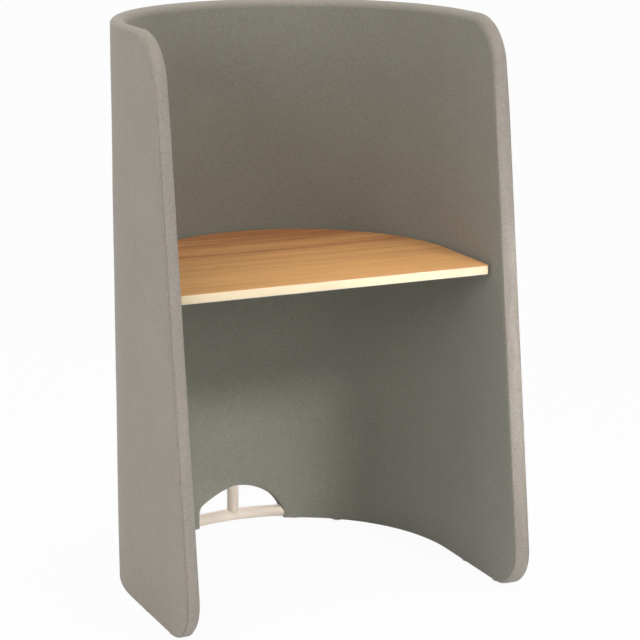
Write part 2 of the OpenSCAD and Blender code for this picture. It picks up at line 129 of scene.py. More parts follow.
class Bench:
    """A workbench for one material: its node tree and short ways to add to it."""

    def __init__(self, name: str) -> None:
        """Makes the material with a Principled shader.

        Args:
            name: Name of the material.
        """
        self.material = bpy.data.materials.new(name)
        self.material.use_nodes = True
        self.tree = self.material.node_tree
        self.tree.nodes.clear()
        output = self.tree.nodes.new("ShaderNodeOutputMaterial")
        self.shader = self.tree.nodes.new("ShaderNodeBsdfPrincipled")
        self.tree.links.new(self.shader.outputs["BSDF"], output.inputs["Surface"])

    def add(self, kind: str, inputs: dict[Any, Any], **settings: Any) -> bpy.types.Node:
        """Adds a node.

        Args:
            kind: Name of the node's class.
            inputs: Values or sockets by input name or number.
            **settings: Properties of the node.

        Returns:
            The new node.
        """
        node = self.tree.nodes.new(kind)
        for name, value in settings.items():
            setattr(node, name, value)
        for name, value in inputs.items():
            self.feed(node.inputs[name], value)
        return node

    def feed(self, socket: bpy.types.NodeSocket, value: Any) -> None:
        """Links a socket to another, or sets its value.

        Args:
            socket: The input.
            value: The other socket, or the value.
        """
        if isinstance(value, bpy.types.NodeSocket):
            self.tree.links.new(value, socket)
        else:
            socket.default_value = value

    def set(self, **inputs: Any) -> None:
        """Feeds the shader's own inputs, named with _ for a space."""
        for name, value in inputs.items():
            self.feed(self.shader.inputs[name.replace("_", " ")], value)

    def place(self, scale: tuple[float, float, float] = (1, 1, 1),
              source: Coordinates = Coordinates.OBJECT) -> bpy.types.NodeSocket:
        """Gives the point on the surface, in metres, stretched by a scale.

        Args:
            scale: Factor along each axis.
            source: Object space, or the piece laid flat.

        Returns:
            The vector socket.
        """
        start = self.add("ShaderNodeTexCoord", {})
        return self.add("ShaderNodeMapping", {"Vector": start.outputs[source.value], "Scale": scale}).outputs[0]

    def noise(self, vector: bpy.types.NodeSocket, scale: float, detail: float = 3,
              roughness: float = 0.5) -> bpy.types.NodeSocket:
        """Gives a noise value from 0 to 1."""
        return self.add("ShaderNodeTexNoise", {
            "Vector": vector, "Scale": scale, "Detail": detail, "Roughness": roughness}).outputs["Fac"]

    def wave(self, vector: bpy.types.NodeSocket, scale: float, axis: str, distortion: float = 0,
             detail_scale: float = 1) -> bpy.types.NodeSocket:
        """Gives bands across an axis, from 0 to 1."""
        return self.add("ShaderNodeTexWave", {
            "Vector": vector, "Scale": scale, "Distortion": distortion, "Detail": 2,
            "Detail Scale": detail_scale}, bands_direction=axis).outputs["Fac"]

    def cells(self, vector: bpy.types.NodeSocket, scale: float) -> bpy.types.Node:
        """Adds a pattern of chips or grains."""
        return self.add("ShaderNodeTexVoronoi", {"Vector": vector, "Scale": scale})

    def combine(self, a: Any, b: Any, operation: str = "ADD") -> bpy.types.NodeSocket:
        """Combines two values with a math operation."""
        return self.add("ShaderNodeMath", {0: a, 1: b}, operation=operation).outputs[0]

    def spread(self, value: bpy.types.NodeSocket, low: float, high: float, start: float = 0,
               end: float = 1) -> bpy.types.NodeSocket:
        """Maps a value from start..end onto low..high."""
        return self.add("ShaderNodeMapRange", {
            "Value": value, "From Min": start, "From Max": end, "To Min": low, "To Max": high}).outputs[0]

    def blend(self, factor: Any, first: Any, second: Any, how: str = "MIX") -> bpy.types.NodeSocket:
        """Mixes two colours by a factor.

        Args:
            factor: Share of the second colour.
            first: The first colour.
            second: The second colour.
            how: Name of the blend type.

        Returns:
            The colour socket.
        """
        mix = self.tree.nodes.new("ShaderNodeMix")
        mix.data_type, mix.blend_type = "RGBA", how
        for number, value in ((0, factor), (6, first), (7, second)):
            self.feed(mix.inputs[number], value)
        return mix.outputs[2]

    def ramp(self, value: bpy.types.NodeSocket,
             stops: Iterable[tuple[float, Sequence[float]]]) -> bpy.types.NodeSocket:
        """Turns a value into a colour by stops.

        Args:
            value: The value, from 0 to 1.
            stops: Position and linear colour of each stop.

        Returns:
            The colour socket.
        """
        node = self.tree.nodes.new("ShaderNodeValToRGB")
        stops = list(stops)
        elements = node.color_ramp.elements
        while len(elements) < len(stops):
            elements.new(1.0)
        for element, (position, colour) in zip(elements, stops):
            element.position = position
            element.color = colour
        self.feed(node.inputs[0], value)
        return node.outputs["Color"]

    def curve(self, value: bpy.types.NodeSocket, start: float, end: float,
              points: Iterable[tuple[float, float]]) -> bpy.types.NodeSocket:
        """Shifts a value by a curve round 0: half of the curve's points is no shift.

        Args:
            value: The value.
            start: Where the curve starts.
            end: Where it ends.
            points: Position from 0 to 1, and 0.5 plus the shift there.

        Returns:
            The shift.
        """
        place = self.spread(value, 0, 1, start, end)
        level = self.ramp(place, [(position, Colour.grey(shift)) for position, shift in points])
        return self.combine(level, 0.5, "SUBTRACT")

    def bump(self, height: bpy.types.NodeSocket, distance: float, strength: float = 1.0,
             under: Optional[bpy.types.NodeSocket] = None) -> bpy.types.NodeSocket:
        """Raises the surface by a pattern.

        Args:
            height: The pattern.
            distance: Height of the pattern in metres.
            strength: How much of it shows.
            under: Another bump that this one lies on.

        Returns:
            The normal socket.
        """
        inputs = {"Height": height, "Distance": distance, "Strength": strength}
        if under is not None:
            inputs["Normal"] = under
        return self.add("ShaderNodeBump", inputs).outputs[0]


@dataclass(frozen=True)
class WovenWool:
    """Matte wool cloth: a fine plain weave with heathered yarns and soft mottling.

    `yarn` is a yarn's width in mm, `mottle` and `fleck` are how far the light of the soft patches and of the
    yarns goes up and down, `warm` and `cool` tint the yarns' two dyes, and `parts` gives the colours of the
    cloth's parts by the piece's attribute: painted shade on the inner face and over its rim, painted light on the
    sewn strip and a painted highlight on the seam's crest. The scales are those of the noise patterns, in cells a
    metre.
    """

    name: str
    colour: tuple[float, float, float]
    yarn: float = 1.1
    mottle: float = 0.045
    fleck: float = 0.19
    warm: tuple[float, float, float] = (1.035, 0.985, 0.975)
    cool: tuple[float, float, float] = (0.965, 1.015, 1.01)
    parts: tuple[tuple[str, tuple[float, float, float]], ...] = ()
    patch_scale: float = 7
    dye_scale: float = 75
    nap_scale: float = 240
    melange_scale: float = 270
    heather_scale: float = 650
    nap_height: float = 0.35
    weave_height: float = 0.25

    def dye_and_painted_light(self, bench: Bench) -> Any:
        """Gives the cloth's colour, with the colours of its parts where the piece's attributes say: painted shade on
        the inner face, and painted light on the sewn strip and the seam's crest.

        Args:
            bench: The workbench of the material.

        Returns:
            The colour, or its socket.
        """
        colour: Any = Colour.linear(*self.colour)
        # Painted shade and light: the parts darken the inner face and lighten the sewn strip and the seam's crest.
        for attribute, other in self.parts:
            share = bench.add("ShaderNodeAttribute", {}, attribute_name=attribute).outputs["Fac"]
            colour = bench.blend(share, colour, Colour.linear(*other))
        return colour

    def material(self) -> bpy.types.Material:
        """Makes the cloth's material.

        Returns:
            The material.
        """
        bench = Bench(self.name)
        plain = Colour.grey(1)
        where = bench.place()
        flat = bench.place(source=Coordinates.LAID_FLAT)
        scale = WAVE_LENGTH / (self.yarn * MM)
        warp, weft = bench.wave(flat, scale, "X", 0.6, 2), bench.wave(flat, scale, "Y", 0.6, 2)
        weave = bench.combine(warp, weft, "MULTIPLY")
        heather = bench.noise(where, self.heather_scale, 2, 0.6)
        patches = bench.noise(where, self.patch_scale, 4, 0.55)
        dyed = bench.blend(bench.spread(bench.noise(where, self.dye_scale, 2, 0.6), 0, 1, 0.34, 0.66),
                           Colour.tinted(plain, self.warm), Colour.tinted(plain, self.cool))
        melange = bench.spread(bench.noise(where, self.melange_scale, 2, 0.75), -self.fleck, self.fleck, 0.32, 0.68)
        cloud = bench.spread(patches, -self.mottle, self.mottle, 0.3, 0.7)
        most = self.fleck + self.mottle
        light = bench.spread(bench.combine(melange, cloud), 0, 1, -most, most)
        shade = bench.blend(light, Colour.grey(1 - most), Colour.grey(1 + most))
        yarns = bench.blend(1.0, dyed, shade, "MULTIPLY")
        flecks = bench.blend(bench.spread(heather, 0, 0.4, 0.35, 0.75), yarns, Colour.scaled(plain, 1.2))
        # Painted shade: the colour darkens in the gaps between the yarns of the weave.
        woven = bench.blend(bench.spread(weave, 0.16, 0), flecks, Colour.scaled(plain, 0.6))
        bench.set(Base_Color=bench.blend(1.0, self.dye_and_painted_light(bench), woven, "MULTIPLY"))
        bench.set(Roughness=bench.spread(heather, 0.86, 0.98))
        bench.set(Specular_IOR_Level=0.25, Sheen_Weight=0.26, Sheen_Roughness=0.5)
        nap = bench.bump(bench.noise(where, self.nap_scale, 4, 0.6), self.nap_height * MM, 0.5)
        bench.set(Normal=bench.bump(weave, self.weave_height * MM, 0.6, nap))
        return bench.material


@dataclass(frozen=True)
class LaminatedWood:
    """Wood-grain laminate: long straight grain along X, with darker bands and fine pores.

    `bands`, `streaks` and `drift` are the shares that the three sizes of grain have in the tone. `front_to_back_shade`
    is
    painted shade: it makes the boards lighter at the front of the desk and darker towards its back, where the
    wall shades the desk, with 0.5 for no change.
    """

    name: str
    light: tuple[float, float, float]
    dark: tuple[float, float, float]
    bands: float = 0.32
    streaks: float = 0.50
    drift: float = 0.18
    front: float = -0.24
    back: float = 0.34
    front_to_back_shade: tuple[tuple[float, float], ...] = (
        (0.0, 0.57), (0.13, 0.56), (0.24, 0.53), (0.34, 0.49), (0.52, 0.47), (0.60, 0.40), (0.68, 0.42),
        (0.80, 0.39), (1.0, 0.36))

    def material(self) -> bpy.types.Material:
        """Makes the laminate's material.

        Returns:
            The material.
        """
        bench = Bench(self.name)
        light, dark = Colour.linear(*self.light), Colour.linear(*self.dark)
        drift = bench.noise(bench.place((0.5, 1.6, 1.6)), 3.0, 2)
        bands = bench.noise(bench.place((0.35, 9, 9)), 3.6, 4, 0.6)
        streaks = bench.noise(bench.place((1.1, 70, 70)), 3.0, 4, 0.65)
        tone = bench.combine(bench.combine(bands, self.bands, "MULTIPLY"),
                             bench.combine(streaks, self.streaks, "MULTIPLY"))
        tone = bench.combine(tone, bench.combine(drift, self.drift, "MULTIPLY"))
        across = bench.add("ShaderNodeSeparateXYZ", {0: bench.place()}).outputs[1]
        # Painted shade: the tone is raised at the desk's front and lowered towards its back, where the wall shades it.
        tone = bench.combine(tone, bench.curve(across, self.front, self.back, self.front_to_back_shade))
        body = bench.ramp(tone, [(0.22, Colour.scaled(dark, 0.72)), (0.36, dark),
                                 (0.44, Colour.between(dark, light, 0.6)), (0.54, light),
                                 (0.68, Colour.scaled(light, 1.14))])
        pores = bench.noise(bench.place((5, 190, 190)), 3.0, 3, 0.7)
        bench.set(Base_Color=bench.blend(bench.spread(pores, 0.34, 0, 0.32, 0.52), body, Colour.scaled(dark, 0.85)))
        bench.set(Roughness=bench.spread(pores, 0.50, 0.40, 0.3, 0.6))
        bench.set(Specular_IOR_Level=0.4)
        bench.set(Normal=bench.bump(pores, 0.06 * MM, 0.5))
        return bench.material


@dataclass(frozen=True)
class EvenFinish:
    """A plain coated, moulded or rolled surface: one colour with slight clouding and a fine texture."""

    name: str
    colour: tuple[float, float, float]
    roughness: float
    metallic: float = 0.0
    texture_scale: float = 900
    texture_height: float = 0.04
    clouding: float = 0.03
    brushed: tuple[float, float, float] = (1, 1, 1)

    def material(self) -> bpy.types.Material:
        """Makes the finish's material.

        Returns:
            The material.
        """
        bench = Bench(self.name)
        base = Colour.linear(*self.colour)
        cloud = bench.noise(bench.place(), 14, 3)
        grain = bench.noise(bench.place(self.brushed), self.texture_scale, 2)
        bench.set(Base_Color=bench.blend(bench.spread(cloud, 0, 1, 0.3, 0.7),
                                         Colour.scaled(base, 1 - self.clouding),
                                         Colour.scaled(base, 1 + self.clouding)))
        bench.set(Roughness=bench.spread(grain, self.roughness - 0.06, self.roughness + 0.06))
        bench.set(Metallic=self.metallic)
        bench.set(Normal=bench.bump(grain, self.texture_height * MM, 0.5))
        return bench.material


@dataclass(frozen=True)
class ChippedBoard:
    """Particle board: pale and brown wood chips pressed together."""

    name: str
    pale: tuple[float, float, float]
    brown: tuple[float, float, float]

    def material(self) -> bpy.types.Material:
        """Makes the board's material.

        Returns:
            The material.
        """
        bench = Bench(self.name)
        chips = bench.cells(bench.place((1, 1, 2.5)), 420)
        tone = bench.add("ShaderNodeSeparateColor", {0: chips.outputs["Color"]}).outputs[0]
        bench.set(Base_Color=bench.blend(tone, Colour.linear(*self.pale), Colour.linear(*self.brown)))
        bench.set(Roughness=bench.spread(tone, 0.8, 0.95))
        bench.set(Normal=bench.bump(chips.outputs["Distance"], 0.3 * MM, 0.6))
        return bench.material


@dataclass(frozen=True)
class OpenFoam:
    """Foam or wadding: pale, matte and full of small cells."""

    name: str
    colour: tuple[float, float, float]
    cell: float = 1.2

    def material(self) -> bpy.types.Material:
        """Makes the foam's material.

        Returns:
            The material.
        """
        bench = Bench(self.name)
        base = Colour.linear(*self.colour)
        cells = bench.cells(bench.place(), 1 / (self.cell * MM)).outputs["Distance"]
        # Painted shade: the colour darkens towards the middle of each cell, in its hollow.
        bench.set(Base_Color=bench.blend(bench.spread(cells, 0, 1, 0, 0.7), Colour.scaled(base, 0.8), base))
        bench.set(Roughness=bench.spread(cells, 0.98, 0.88))
        bench.set(Normal=bench.bump(cells, 0.5 * MM, 0.7))
        return bench.material


class Finishes:
    """Every finish of the carrel, made once."""

    def __init__(self) -> None:
        """Makes the materials."""
        # The inner face is the same wool, coloured darker as painted shade for the enclosed inside.
        self.cover = WovenWool("cover_wool", (162, 153, 141), parts=(
            # The strip's lighter colour is painted light on the strip and a painted highlight on the seam's crest.
            ("strip_painted_light_share", (166, 158, 149)), ("inside_shade_share", (142, 140, 130)))).material()
        self.lining = WovenWool("lining_cloth", (104, 100, 93), 0.8, 0.04).material()
        self.thread = EvenFinish("sewing_thread", (176, 168, 156), 0.7, texture_scale=3000).material()
        self.wood = LaminatedWood("wood_laminate", (218, 165, 104), (170, 106, 60)).material()
        self.band = EvenFinish("cream_edge_band", (248, 228, 192), 0.42, texture_height=0.02).material()
        self.backing = EvenFinish("backing_laminate", (214, 207, 193), 0.55).material()
        self.board = ChippedBoard("particle_board", (205, 178, 135), (150, 115, 75)).material()
        self.frame_paint = EvenFinish("cream_powder_coat", (240, 226, 210), 0.40, texture_scale=1400,
                                      texture_height=0.05).material()
        self.bracket_paint = EvenFinish("grey_powder_coat", (82, 82, 84), 0.48, texture_scale=1400,
                                        texture_height=0.06).material()
        self.steel = EvenFinish("zinc_plated_steel", (186, 188, 190), 0.34, 1.0, 500, 0.02, 0.05,
                                (1, 1, 12)).material()
        self.foot_plastic = EvenFinish("pale_foot_plastic", (224, 222, 215), 0.5, texture_scale=1800,
                                       texture_height=0.05).material()
        self.foam = OpenFoam("core_foam", (222, 218, 200)).material()
        self.wadding = OpenFoam("polyester_wadding", (236, 234, 228), 0.5).material()


class Mesher:
    """Makes mesh objects from points and faces."""

    @staticmethod
    def build(name: str, points: np.ndarray, faces: Sequence[Sequence[int]],
              material: bpy.types.Material, smooth: bool = True) -> bpy.types.Object:
        """Makes an object.

        Args:
            name: Name of the piece.
            points: Its vertices, in metres, one row each.
            faces: Vertex numbers of each face.
            material: Its finish.
            smooth: Whether its faces are shaded smooth.

        Returns:
            The object, at the origin.
        """
        mesh = bpy.data.meshes.new(name)
        mesh.from_pydata([tuple(p) for p in points], [], [tuple(f) for f in faces])
        mesh.materials.append(material)
        mesh.polygons.foreach_set("use_smooth", [smooth] * len(mesh.polygons))
        mesh.update()
        piece = bpy.data.objects.new(name, mesh)
        bpy.context.scene.collection.objects.link(piece)
        return piece

    @staticmethod
    def face_outwards(piece: bpy.types.Object) -> None:
        """Turns every face of a closed piece outwards.

        Args:
            piece: The piece.
        """
        work = bmesh.new()
        work.from_mesh(piece.data)
        bmesh.ops.recalc_face_normals(work, faces=work.faces)
        work.to_mesh(piece.data)
        work.free()

    @staticmethod
    def grid(rows: int, columns: int, closed_rows: bool = False,
             closed_columns: bool = False) -> list[tuple[int, int, int, int]]:
        """Lists the faces between rows of points.

        Args:
            rows: Number of rows.
            columns: Number of points in a row.
            closed_rows: Whether the last row joins the first.
            closed_columns: Whether each row's last point joins its first.

        Returns:
            Four vertex numbers for each face.
        """
        faces = []
        for i in range(rows if closed_rows else rows - 1):
            for j in range(columns if closed_columns else columns - 1):
                i2, j2 = (i + 1) % rows, (j + 1) % columns
                faces.append((i * columns + j, i * columns + j2, i2 * columns + j2, i2 * columns + j))
        return faces

    @staticmethod
    def capped(rows: int, columns: int) -> list[tuple[int, ...]]:
        """Lists the faces of rings of points one after the other, with a face over each end.

        Args:
            rows: Number of rings.
            columns: Number of points in a ring.

        Returns:
            The vertex numbers of each face.
        """
        last = rows * columns - 1
        ends = [tuple(range(columns)), tuple(range(last, last - columns, -1))]
        return Mesher.grid(rows, columns, closed_columns=True) + ends

    @staticmethod
    def lay_flat(piece: bpy.types.Object, spots: np.ndarray) -> None:
        """Gives a piece a map of itself laid flat.

        Args:
            piece: The piece.
            spots: Place of each vertex on the map, in metres.
        """
        corners = np.zeros(len(piece.data.loops), int)
        piece.data.loops.foreach_get("vertex_index", corners)
        piece.data.uv_layers.new(name="laid_flat").data.foreach_set("uv", spots[corners].ravel())

    @staticmethod
    def realised(piece: bpy.types.Object, name: str) -> bpy.types.Object:
        """Turns an object with live modifiers into a plain mesh piece.

        Args:
            piece: The object; it is removed.
            name: Name of the plain piece.

        Returns:
            The new object.
        """
        graph = bpy.context.evaluated_depsgraph_get()
        mesh = bpy.data.meshes.new_from_object(piece.evaluated_get(graph))
        plain = bpy.data.objects.new(name, mesh)
        bpy.context.scene.collection.objects.link(plain)
        bpy.data.objects.remove(piece)
        mesh.name = name
        return plain


@dataclass(frozen=True)
class WallPlan:
    """How the wall is laid out, and where a point of the laid-out wall is in space.

    The radius is that of the middle of the wall. `near_back` is how far on each side the cover is laid out by its
    distance from the middle line and not by angle. Y is counted from the centre of the half round, which lies
    `middle_y` behind the middle of the footprint.
    """

    middle_radius: float = 393.0
    half_thickness: float = 17.0
    height: float = 1270.0
    low: float = 4.0
    front_foot: float = 352.0
    lean: float = math.radians(7.9753)
    corner_head: float = 117.0
    corner_foot: float = 92.0
    middle_y: float = 36.174
    near_back: float = 170.0
    upright_y: float = -55.0

    @property
    def joint(self) -> float:
        """How far along the wall the half round turns into the flat side."""
        return self.near_back + (math.pi / 2 - math.asin(self.near_back / self.middle_radius)) * self.middle_radius

    def put(self, t: Any, z: Any, w: Any) -> np.ndarray:
        """Gives the place of points of the laid-out wall.

        Args:
            t: Distance along the wall, in mm.
            z: Height, in mm.
            w: Distance outwards from the middle of the wall, in mm.

        Returns:
            One row of x, y and z in metres for each point.
        """
        t, z, w = np.broadcast_arrays(np.asarray(t, float), np.asarray(z, float), np.asarray(w, float))
        radius, along = self.middle_radius + w, np.abs(t)
        start = np.arcsin(self.near_back / radius)
        share = np.clip((along - self.near_back) / (self.joint - self.near_back), 0, 1)
        angle = np.where(along <= self.near_back, np.arcsin(np.minimum(along, self.near_back) / radius),
                         start + (math.pi / 2 - start) * share)
        x = np.sign(t) * radius * np.sin(angle)
        y = radius * np.cos(angle) - np.maximum(along - self.joint, 0) - self.middle_y
        return np.stack([x, y, z], -1).reshape(-1, 3) * MM

    def front(self, z: float, inset: float) -> float:
        """Gives the front edge's Y from the back's centre at a height, inset from the finished edge."""
        return -self.front_foot + z * math.tan(self.lean) + inset / math.cos(self.lean)


class Route:
    """A run of the wall's outline: points with the direction into the cloth, evenly spaced."""

    def __init__(self, points: Sequence[Sequence[float]], inwards: Sequence[Sequence[float]]) -> None:
        """Keeps the run.

        Args:
            points: Dense points of the run, as t and z.
            inwards: Direction into the cloth at each.
        """
        self.points = np.array(points, float)
        self.inwards = np.array(inwards, float)
        self.length = walked(self.points)

    def spaced(self, count: int) -> tuple[np.ndarray, np.ndarray]:
        """Spaces points evenly along the run.

        Args:
            count: Number of points.

        Returns:
            The points, and the directions into the cloth.
        """
        at = np.linspace(0, self.length[-1], count)
        both = [np.stack([np.interp(at, self.length, a[:, c]) for c in (0, 1)], -1)
                for a in (self.points, self.inwards)]
        return both[0], both[1] / np.linalg.norm(both[1], axis=1)[:, None]


Run = tuple[np.ndarray, np.ndarray]  # evenly spaced points of a route, and their directions into the cloth


@dataclass(frozen=True)
class Rounding:
    """One half of an edge: where it leaves the face, its radius, and the inset of the flat beyond, in mm."""

    start: float
    radius: float
    floor: float = 0.0


@dataclass
class Profile:
    """The edge's cross-section, from the outer face round to the inner one: inset from the edge, and w."""

    inset: np.ndarray
    across: np.ndarray

    @classmethod
    def rounded(cls, half: float, rounding: Rounding, angles: Sequence[float], lift: Sequence[float],
                meeting: float) -> "Profile":
        """Makes one half of a rounded edge, from the face to where the other half meets it.

        Args:
            half: Half the wall's thickness.
            rounding: The sizes of the half.
            angles: Degrees round the corner for its points.
            lift: How far each point stands proud.
            meeting: How far from the middle of the wall it ends.

        Returns:
            The half profile.
        """
        start, radius, floor = rounding.start, rounding.radius, rounding.floor
        inset, across = [start, (start + floor + radius) / 2], [half, half]
        for angle, proud in zip(angles, lift):
            a = math.radians(angle)
            inset.append(floor + radius - (radius + proud) * math.sin(a))
            across.append(half - radius + (radius + proud) * math.cos(a))
        inset += [floor, floor]
        across += [(half - radius + meeting) / 2, meeting]
        return cls(np.array(inset), np.array(across))

    def joined(self, inner: "Profile") -> "Profile":
        """Gives the whole profile, with another half on the inner side."""
        return Profile(np.concatenate([self.inset, inner.inset[-2::-1]]),
                       np.concatenate([self.across, -inner.across[-2::-1]]))

    def across_at(self, inset: float, face: Face) -> float:
        """Gives where a whole profile's surface is at an inset.

        Args:
            inset: Distance from the edge.
            face: On which face of the wall.

        Returns:
            Its distance from the middle of the wall, w.
        """
        count, order = len(self.inset) // 2, face.value
        insets, across = self.inset[::order], self.across[::order]
        return float(np.interp(inset, insets[count::-1], across[count::-1]))


@dataclass
class UpholsteredWall:
    """The padded wall: outer face, inner face and the strip sewn between them, as one closed cover.

    The first fields count the cells of the laid-out face. It ends `border` inside the finished edge, and the rings
    of the edge's profile close the rest.
    """

    plan: WallPlan
    finishes: Finishes
    rows: int = 124
    side_columns: int = 30
    quarter_columns: int = 45
    near_columns: int = 40
    arch_rows: int = 15
    arch_layers: int = 10
    corner_points: int = 60
    border: float = 24.0

    # The arch: its straight left side and shoulder, and the long curve of its right side.
    arch_shoulder: tuple[tuple[float, float], ...] = (
        (-98, 18), (-98, 34), (-97.6, 46), (-94.5, 55), (-88, 61.5), (-70, 70.5), (-49, 80.5), (-34, 87),
        (-20, 92), (-7, 95.8))
    arch_middle: float = 6.0
    arch_top: float = 97.0
    arch_reach: float = 118.0
    arch_power: float = 1.03
    arch_foot: float = 18.0
    arch_first_angle: float = 0.06
    arch_smoothing: int = 3

    # The edge's profiles, from the outer face (outer_angles) and from the inner one (inner_angles).
    strip_edge: Rounding = Rounding(13.0, 10.0)
    crown_edge: Rounding = Rounding(15.0, 13.5)
    inner_edge: Rounding = Rounding(21.0, 19.0)
    hem_edge: Rounding = Rounding(11.5, 5.0, 1.2)
    arch_edge: Rounding = Rounding(11.5, 3.0, 1.0)
    meeting: float = 2.8
    outer_angles: tuple[float, ...] = (0, 12, 22, 31, 38, 44, 48, 52, 59, 72, 90)
    seam_lift: tuple[float, ...] = (0, 0.2, 0.8, 1.2, 1.3, 0.8, -2.4, 0.0, 0.6, 0.35, 0)
    crown_lift: tuple[float, ...] = (0, 0.2, 0.3, 0.3, 0.2, 0.0, -0.1, 0.1, 0.1, 0.0, 0)
    inner_angles: tuple[float, ...] = (0, 10, 18, 23, 26, 28, 30, 34, 41, 58, 90)
    rim_lift: tuple[float, ...] = (0, 0.1, 0.2, -0.2, -0.9, 0.2, 1.1, 1.2, 0.5, 0.1, 0)

    # Where along the edge each profile holds: heights, distances under the top, and the hem, which hangs a little
    # lower at the dip beside the arch's right foot.
    strip_foot: tuple[float, float] = (5.0, 26.0)
    crown_drop: tuple[float, float] = (210.0, 70.0)
    arch_span: tuple[float, float] = (130.0, 300.0)
    hem_band: float = 0.5
    hem_drop: float = 3.0
    hem_dip: tuple[float, float] = (139.0, 15.0)

    # The padding: how far it stands out, the low ridge and the troughs over an upright, and the cloth's slack.
    puff: float = 0.5
    rise_length: float = 55.0
    ridge: tuple[float, float] = (0.55, 10.0)
    trough: tuple[float, float, float] = (0.75, 17.0, 5.0)
    ridge_share: float = 0.6
    slack: tuple[tuple[float, float, float, float], ...] = ((1.1, 150, 230, 0), (0.35, 42, 90, 9))
    slack_seeds: dict[Face, float] = field(default_factory=lambda: {Face.OUTER: 3.0, Face.INNER: 17.0})

    # The seams and the cloth's colours, by the rings of the profile from the outer face to the inner one. The strip
    # takes painted light, the crest rings beside the seam's groove a painted highlight, and rim_shade paints shade
    # over the rim.
    stitch_insets: dict[Face, float] = field(default_factory=lambda: {Face.OUTER: 8.2, Face.INNER: 14.5})
    stitch_lift: float = 0.1
    seam_share: float = 0.98
    seam_ring: int = 8
    # Painted highlight: the crest rings beside the seam's groove take the strip's lighter colour.
    crest_highlight_rings: tuple[int, int] = (6, 7)
    rim_ring: int = 22
    sewn_foot: float = 5.0
    strip_fade: tuple[float, float] = (12.0, 60.0)
    # Painted shade: the share of the inner cloth's darker colour on each of the last rings, fading it over the crown's
    # rounded rim.
    rim_shade: tuple[float, ...] = (0.0, 0.1, 0.28, 0.4, 0.5, 0.56, 0.62, 0.68, 0.78, 0.9, 1.0, 1.0, 1.0)

    flat: np.ndarray = field(init=False)
    cells: list[tuple[int, int, int, int]] = field(init=False)
    loop: list[int] = field(init=False)
    edge: np.ndarray = field(init=False)
    inwards: np.ndarray = field(init=False)

    # ---- the outline ----

    def side_routes(self) -> tuple[Route, Route, Route]:
        """Lays out the right side's outline.

        Returns:
            Its low, front and high runs, from the joint at the floor to the joint at the top.
        """
        p = self.plan
        z_foot, z_head = p.low + p.corner_foot, p.height - p.corner_head
        y_foot, y_head = p.front(z_foot, p.corner_foot), p.front(z_head, p.corner_head)
        front_angle = math.pi - p.lean

        def corner(y: float, z: float, r: float, start: float, end: float) -> list[tuple[float, float, float, float]]:
            """Gives points of a corner round y and z, and their directions inwards."""
            angles = [start + (end - start) * share for share in np.linspace(0, 1, self.corner_points)]
            return [(y + r * math.cos(a), z + r * math.sin(a), -math.cos(a), -math.sin(a)) for a in angles]

        foot_middle, head_middle = (1.5 * math.pi + front_angle) / 2, (front_angle + math.pi / 2) / 2
        low = [(0, p.low, 0, 1)] + corner(y_foot, z_foot, p.corner_foot, 1.5 * math.pi, foot_middle)
        front = (corner(y_foot, z_foot, p.corner_foot, foot_middle, front_angle)
                 + corner(y_head, z_head, p.corner_head, front_angle, head_middle))
        high = corner(y_head, z_head, p.corner_head, head_middle, math.pi / 2) + [(0, p.height, 0, -1)]
        return tuple(Route([(p.joint - y, z) for y, z, _, _ in run], [(-a, b) for _, _, a, b in run])
                     for run in (low, front, high))

    def arch_points(self) -> np.ndarray:
        """Draws the arch from its left foot to its right one.

        Returns:
            Its dense outline, as t and z.
        """
        middle, top, power = self.arch_middle, self.arch_top, self.arch_power
        last_angle = math.acos((self.arch_foot / top) ** (1 / power))
        right = [(middle + self.arch_reach * math.sin(a), top * math.cos(a) ** power)
                 for a in np.linspace(self.arch_first_angle, last_angle, self.corner_points)]
        points = np.array([*self.arch_shoulder, (middle, top), *right])
        for _ in range(self.arch_smoothing):
            cut = np.empty((2 * len(points) - 2, 2))
            cut[0::2] = points[:-1] * 0.75 + points[1:] * 0.25
            cut[1::2] = points[:-1] * 0.25 + points[1:] * 0.75
            points = np.vstack([points[:1], cut, points[-1:]])
        return points

    def arch_route(self) -> Route:
        """Lays out the arch's edge from its left foot to its right one.

        Returns:
            The run, with the directions into the cloth.
        """
        points = self.arch_points()
        along = np.gradient(points, axis=0)
        inwards = np.stack([-along[:, 1], along[:, 0]], -1)
        return Route(points, inwards / np.linalg.norm(inwards, axis=1)[:, None])

    # ---- the laid-out face ----

    def face_grid(self, low: Run, front: Run, high: Run) -> np.ndarray:
        """Lays columns of points over the face, inside the border.

        Args:
            low: Points of the right side's low run, and their directions inwards.
            front: Those of its front run.
            high: Those of its high run.

        Returns:
            The t and z of each point, by column from the left front edge to the right one, and by row upwards.
        """
        p, n, rows, border = self.plan, self.side_columns, self.rows + 1, self.border
        heights = np.linspace(p.low + border, p.height - border, rows)
        near = np.linspace(-p.near_back, p.near_back, self.near_columns + 1)
        quarter = np.linspace(p.near_back, p.joint, self.quarter_columns + 1)[1:]
        back = np.concatenate([-quarter[::-1], near, quarter])
        grid = np.zeros((len(back) + 2 * n, rows, 2))
        grid[n:n + len(back), :, 0] = back[:, None]
        grid[n:n + len(back), :, 1] = heights[None, :]

        # A flat side is blended from its four edges: the joint with the back, and the three runs of its outline.
        bottom, nose, top = (points + inwards * border for points, inwards in (low, front, high))
        top = top[::-1]
        u, v = np.linspace(0, 1, n + 1)[:, None, None], np.linspace(0, 1, rows)[None, :, None]
        joint = np.stack([np.full(rows, p.joint), heights], -1)
        patch = ((1 - v) * bottom[:, None] + v * top[:, None] + (1 - u) * joint[None] + u * nose[None]
                 - (1 - u) * (1 - v) * joint[0] - (1 - u) * v * joint[-1]
                 - u * (1 - v) * bottom[-1] - u * v * top[-1])
        grid[n + len(back) - 1:] = patch
        grid[:n + 1] = (patch * [-1, 1])[::-1]
        return grid

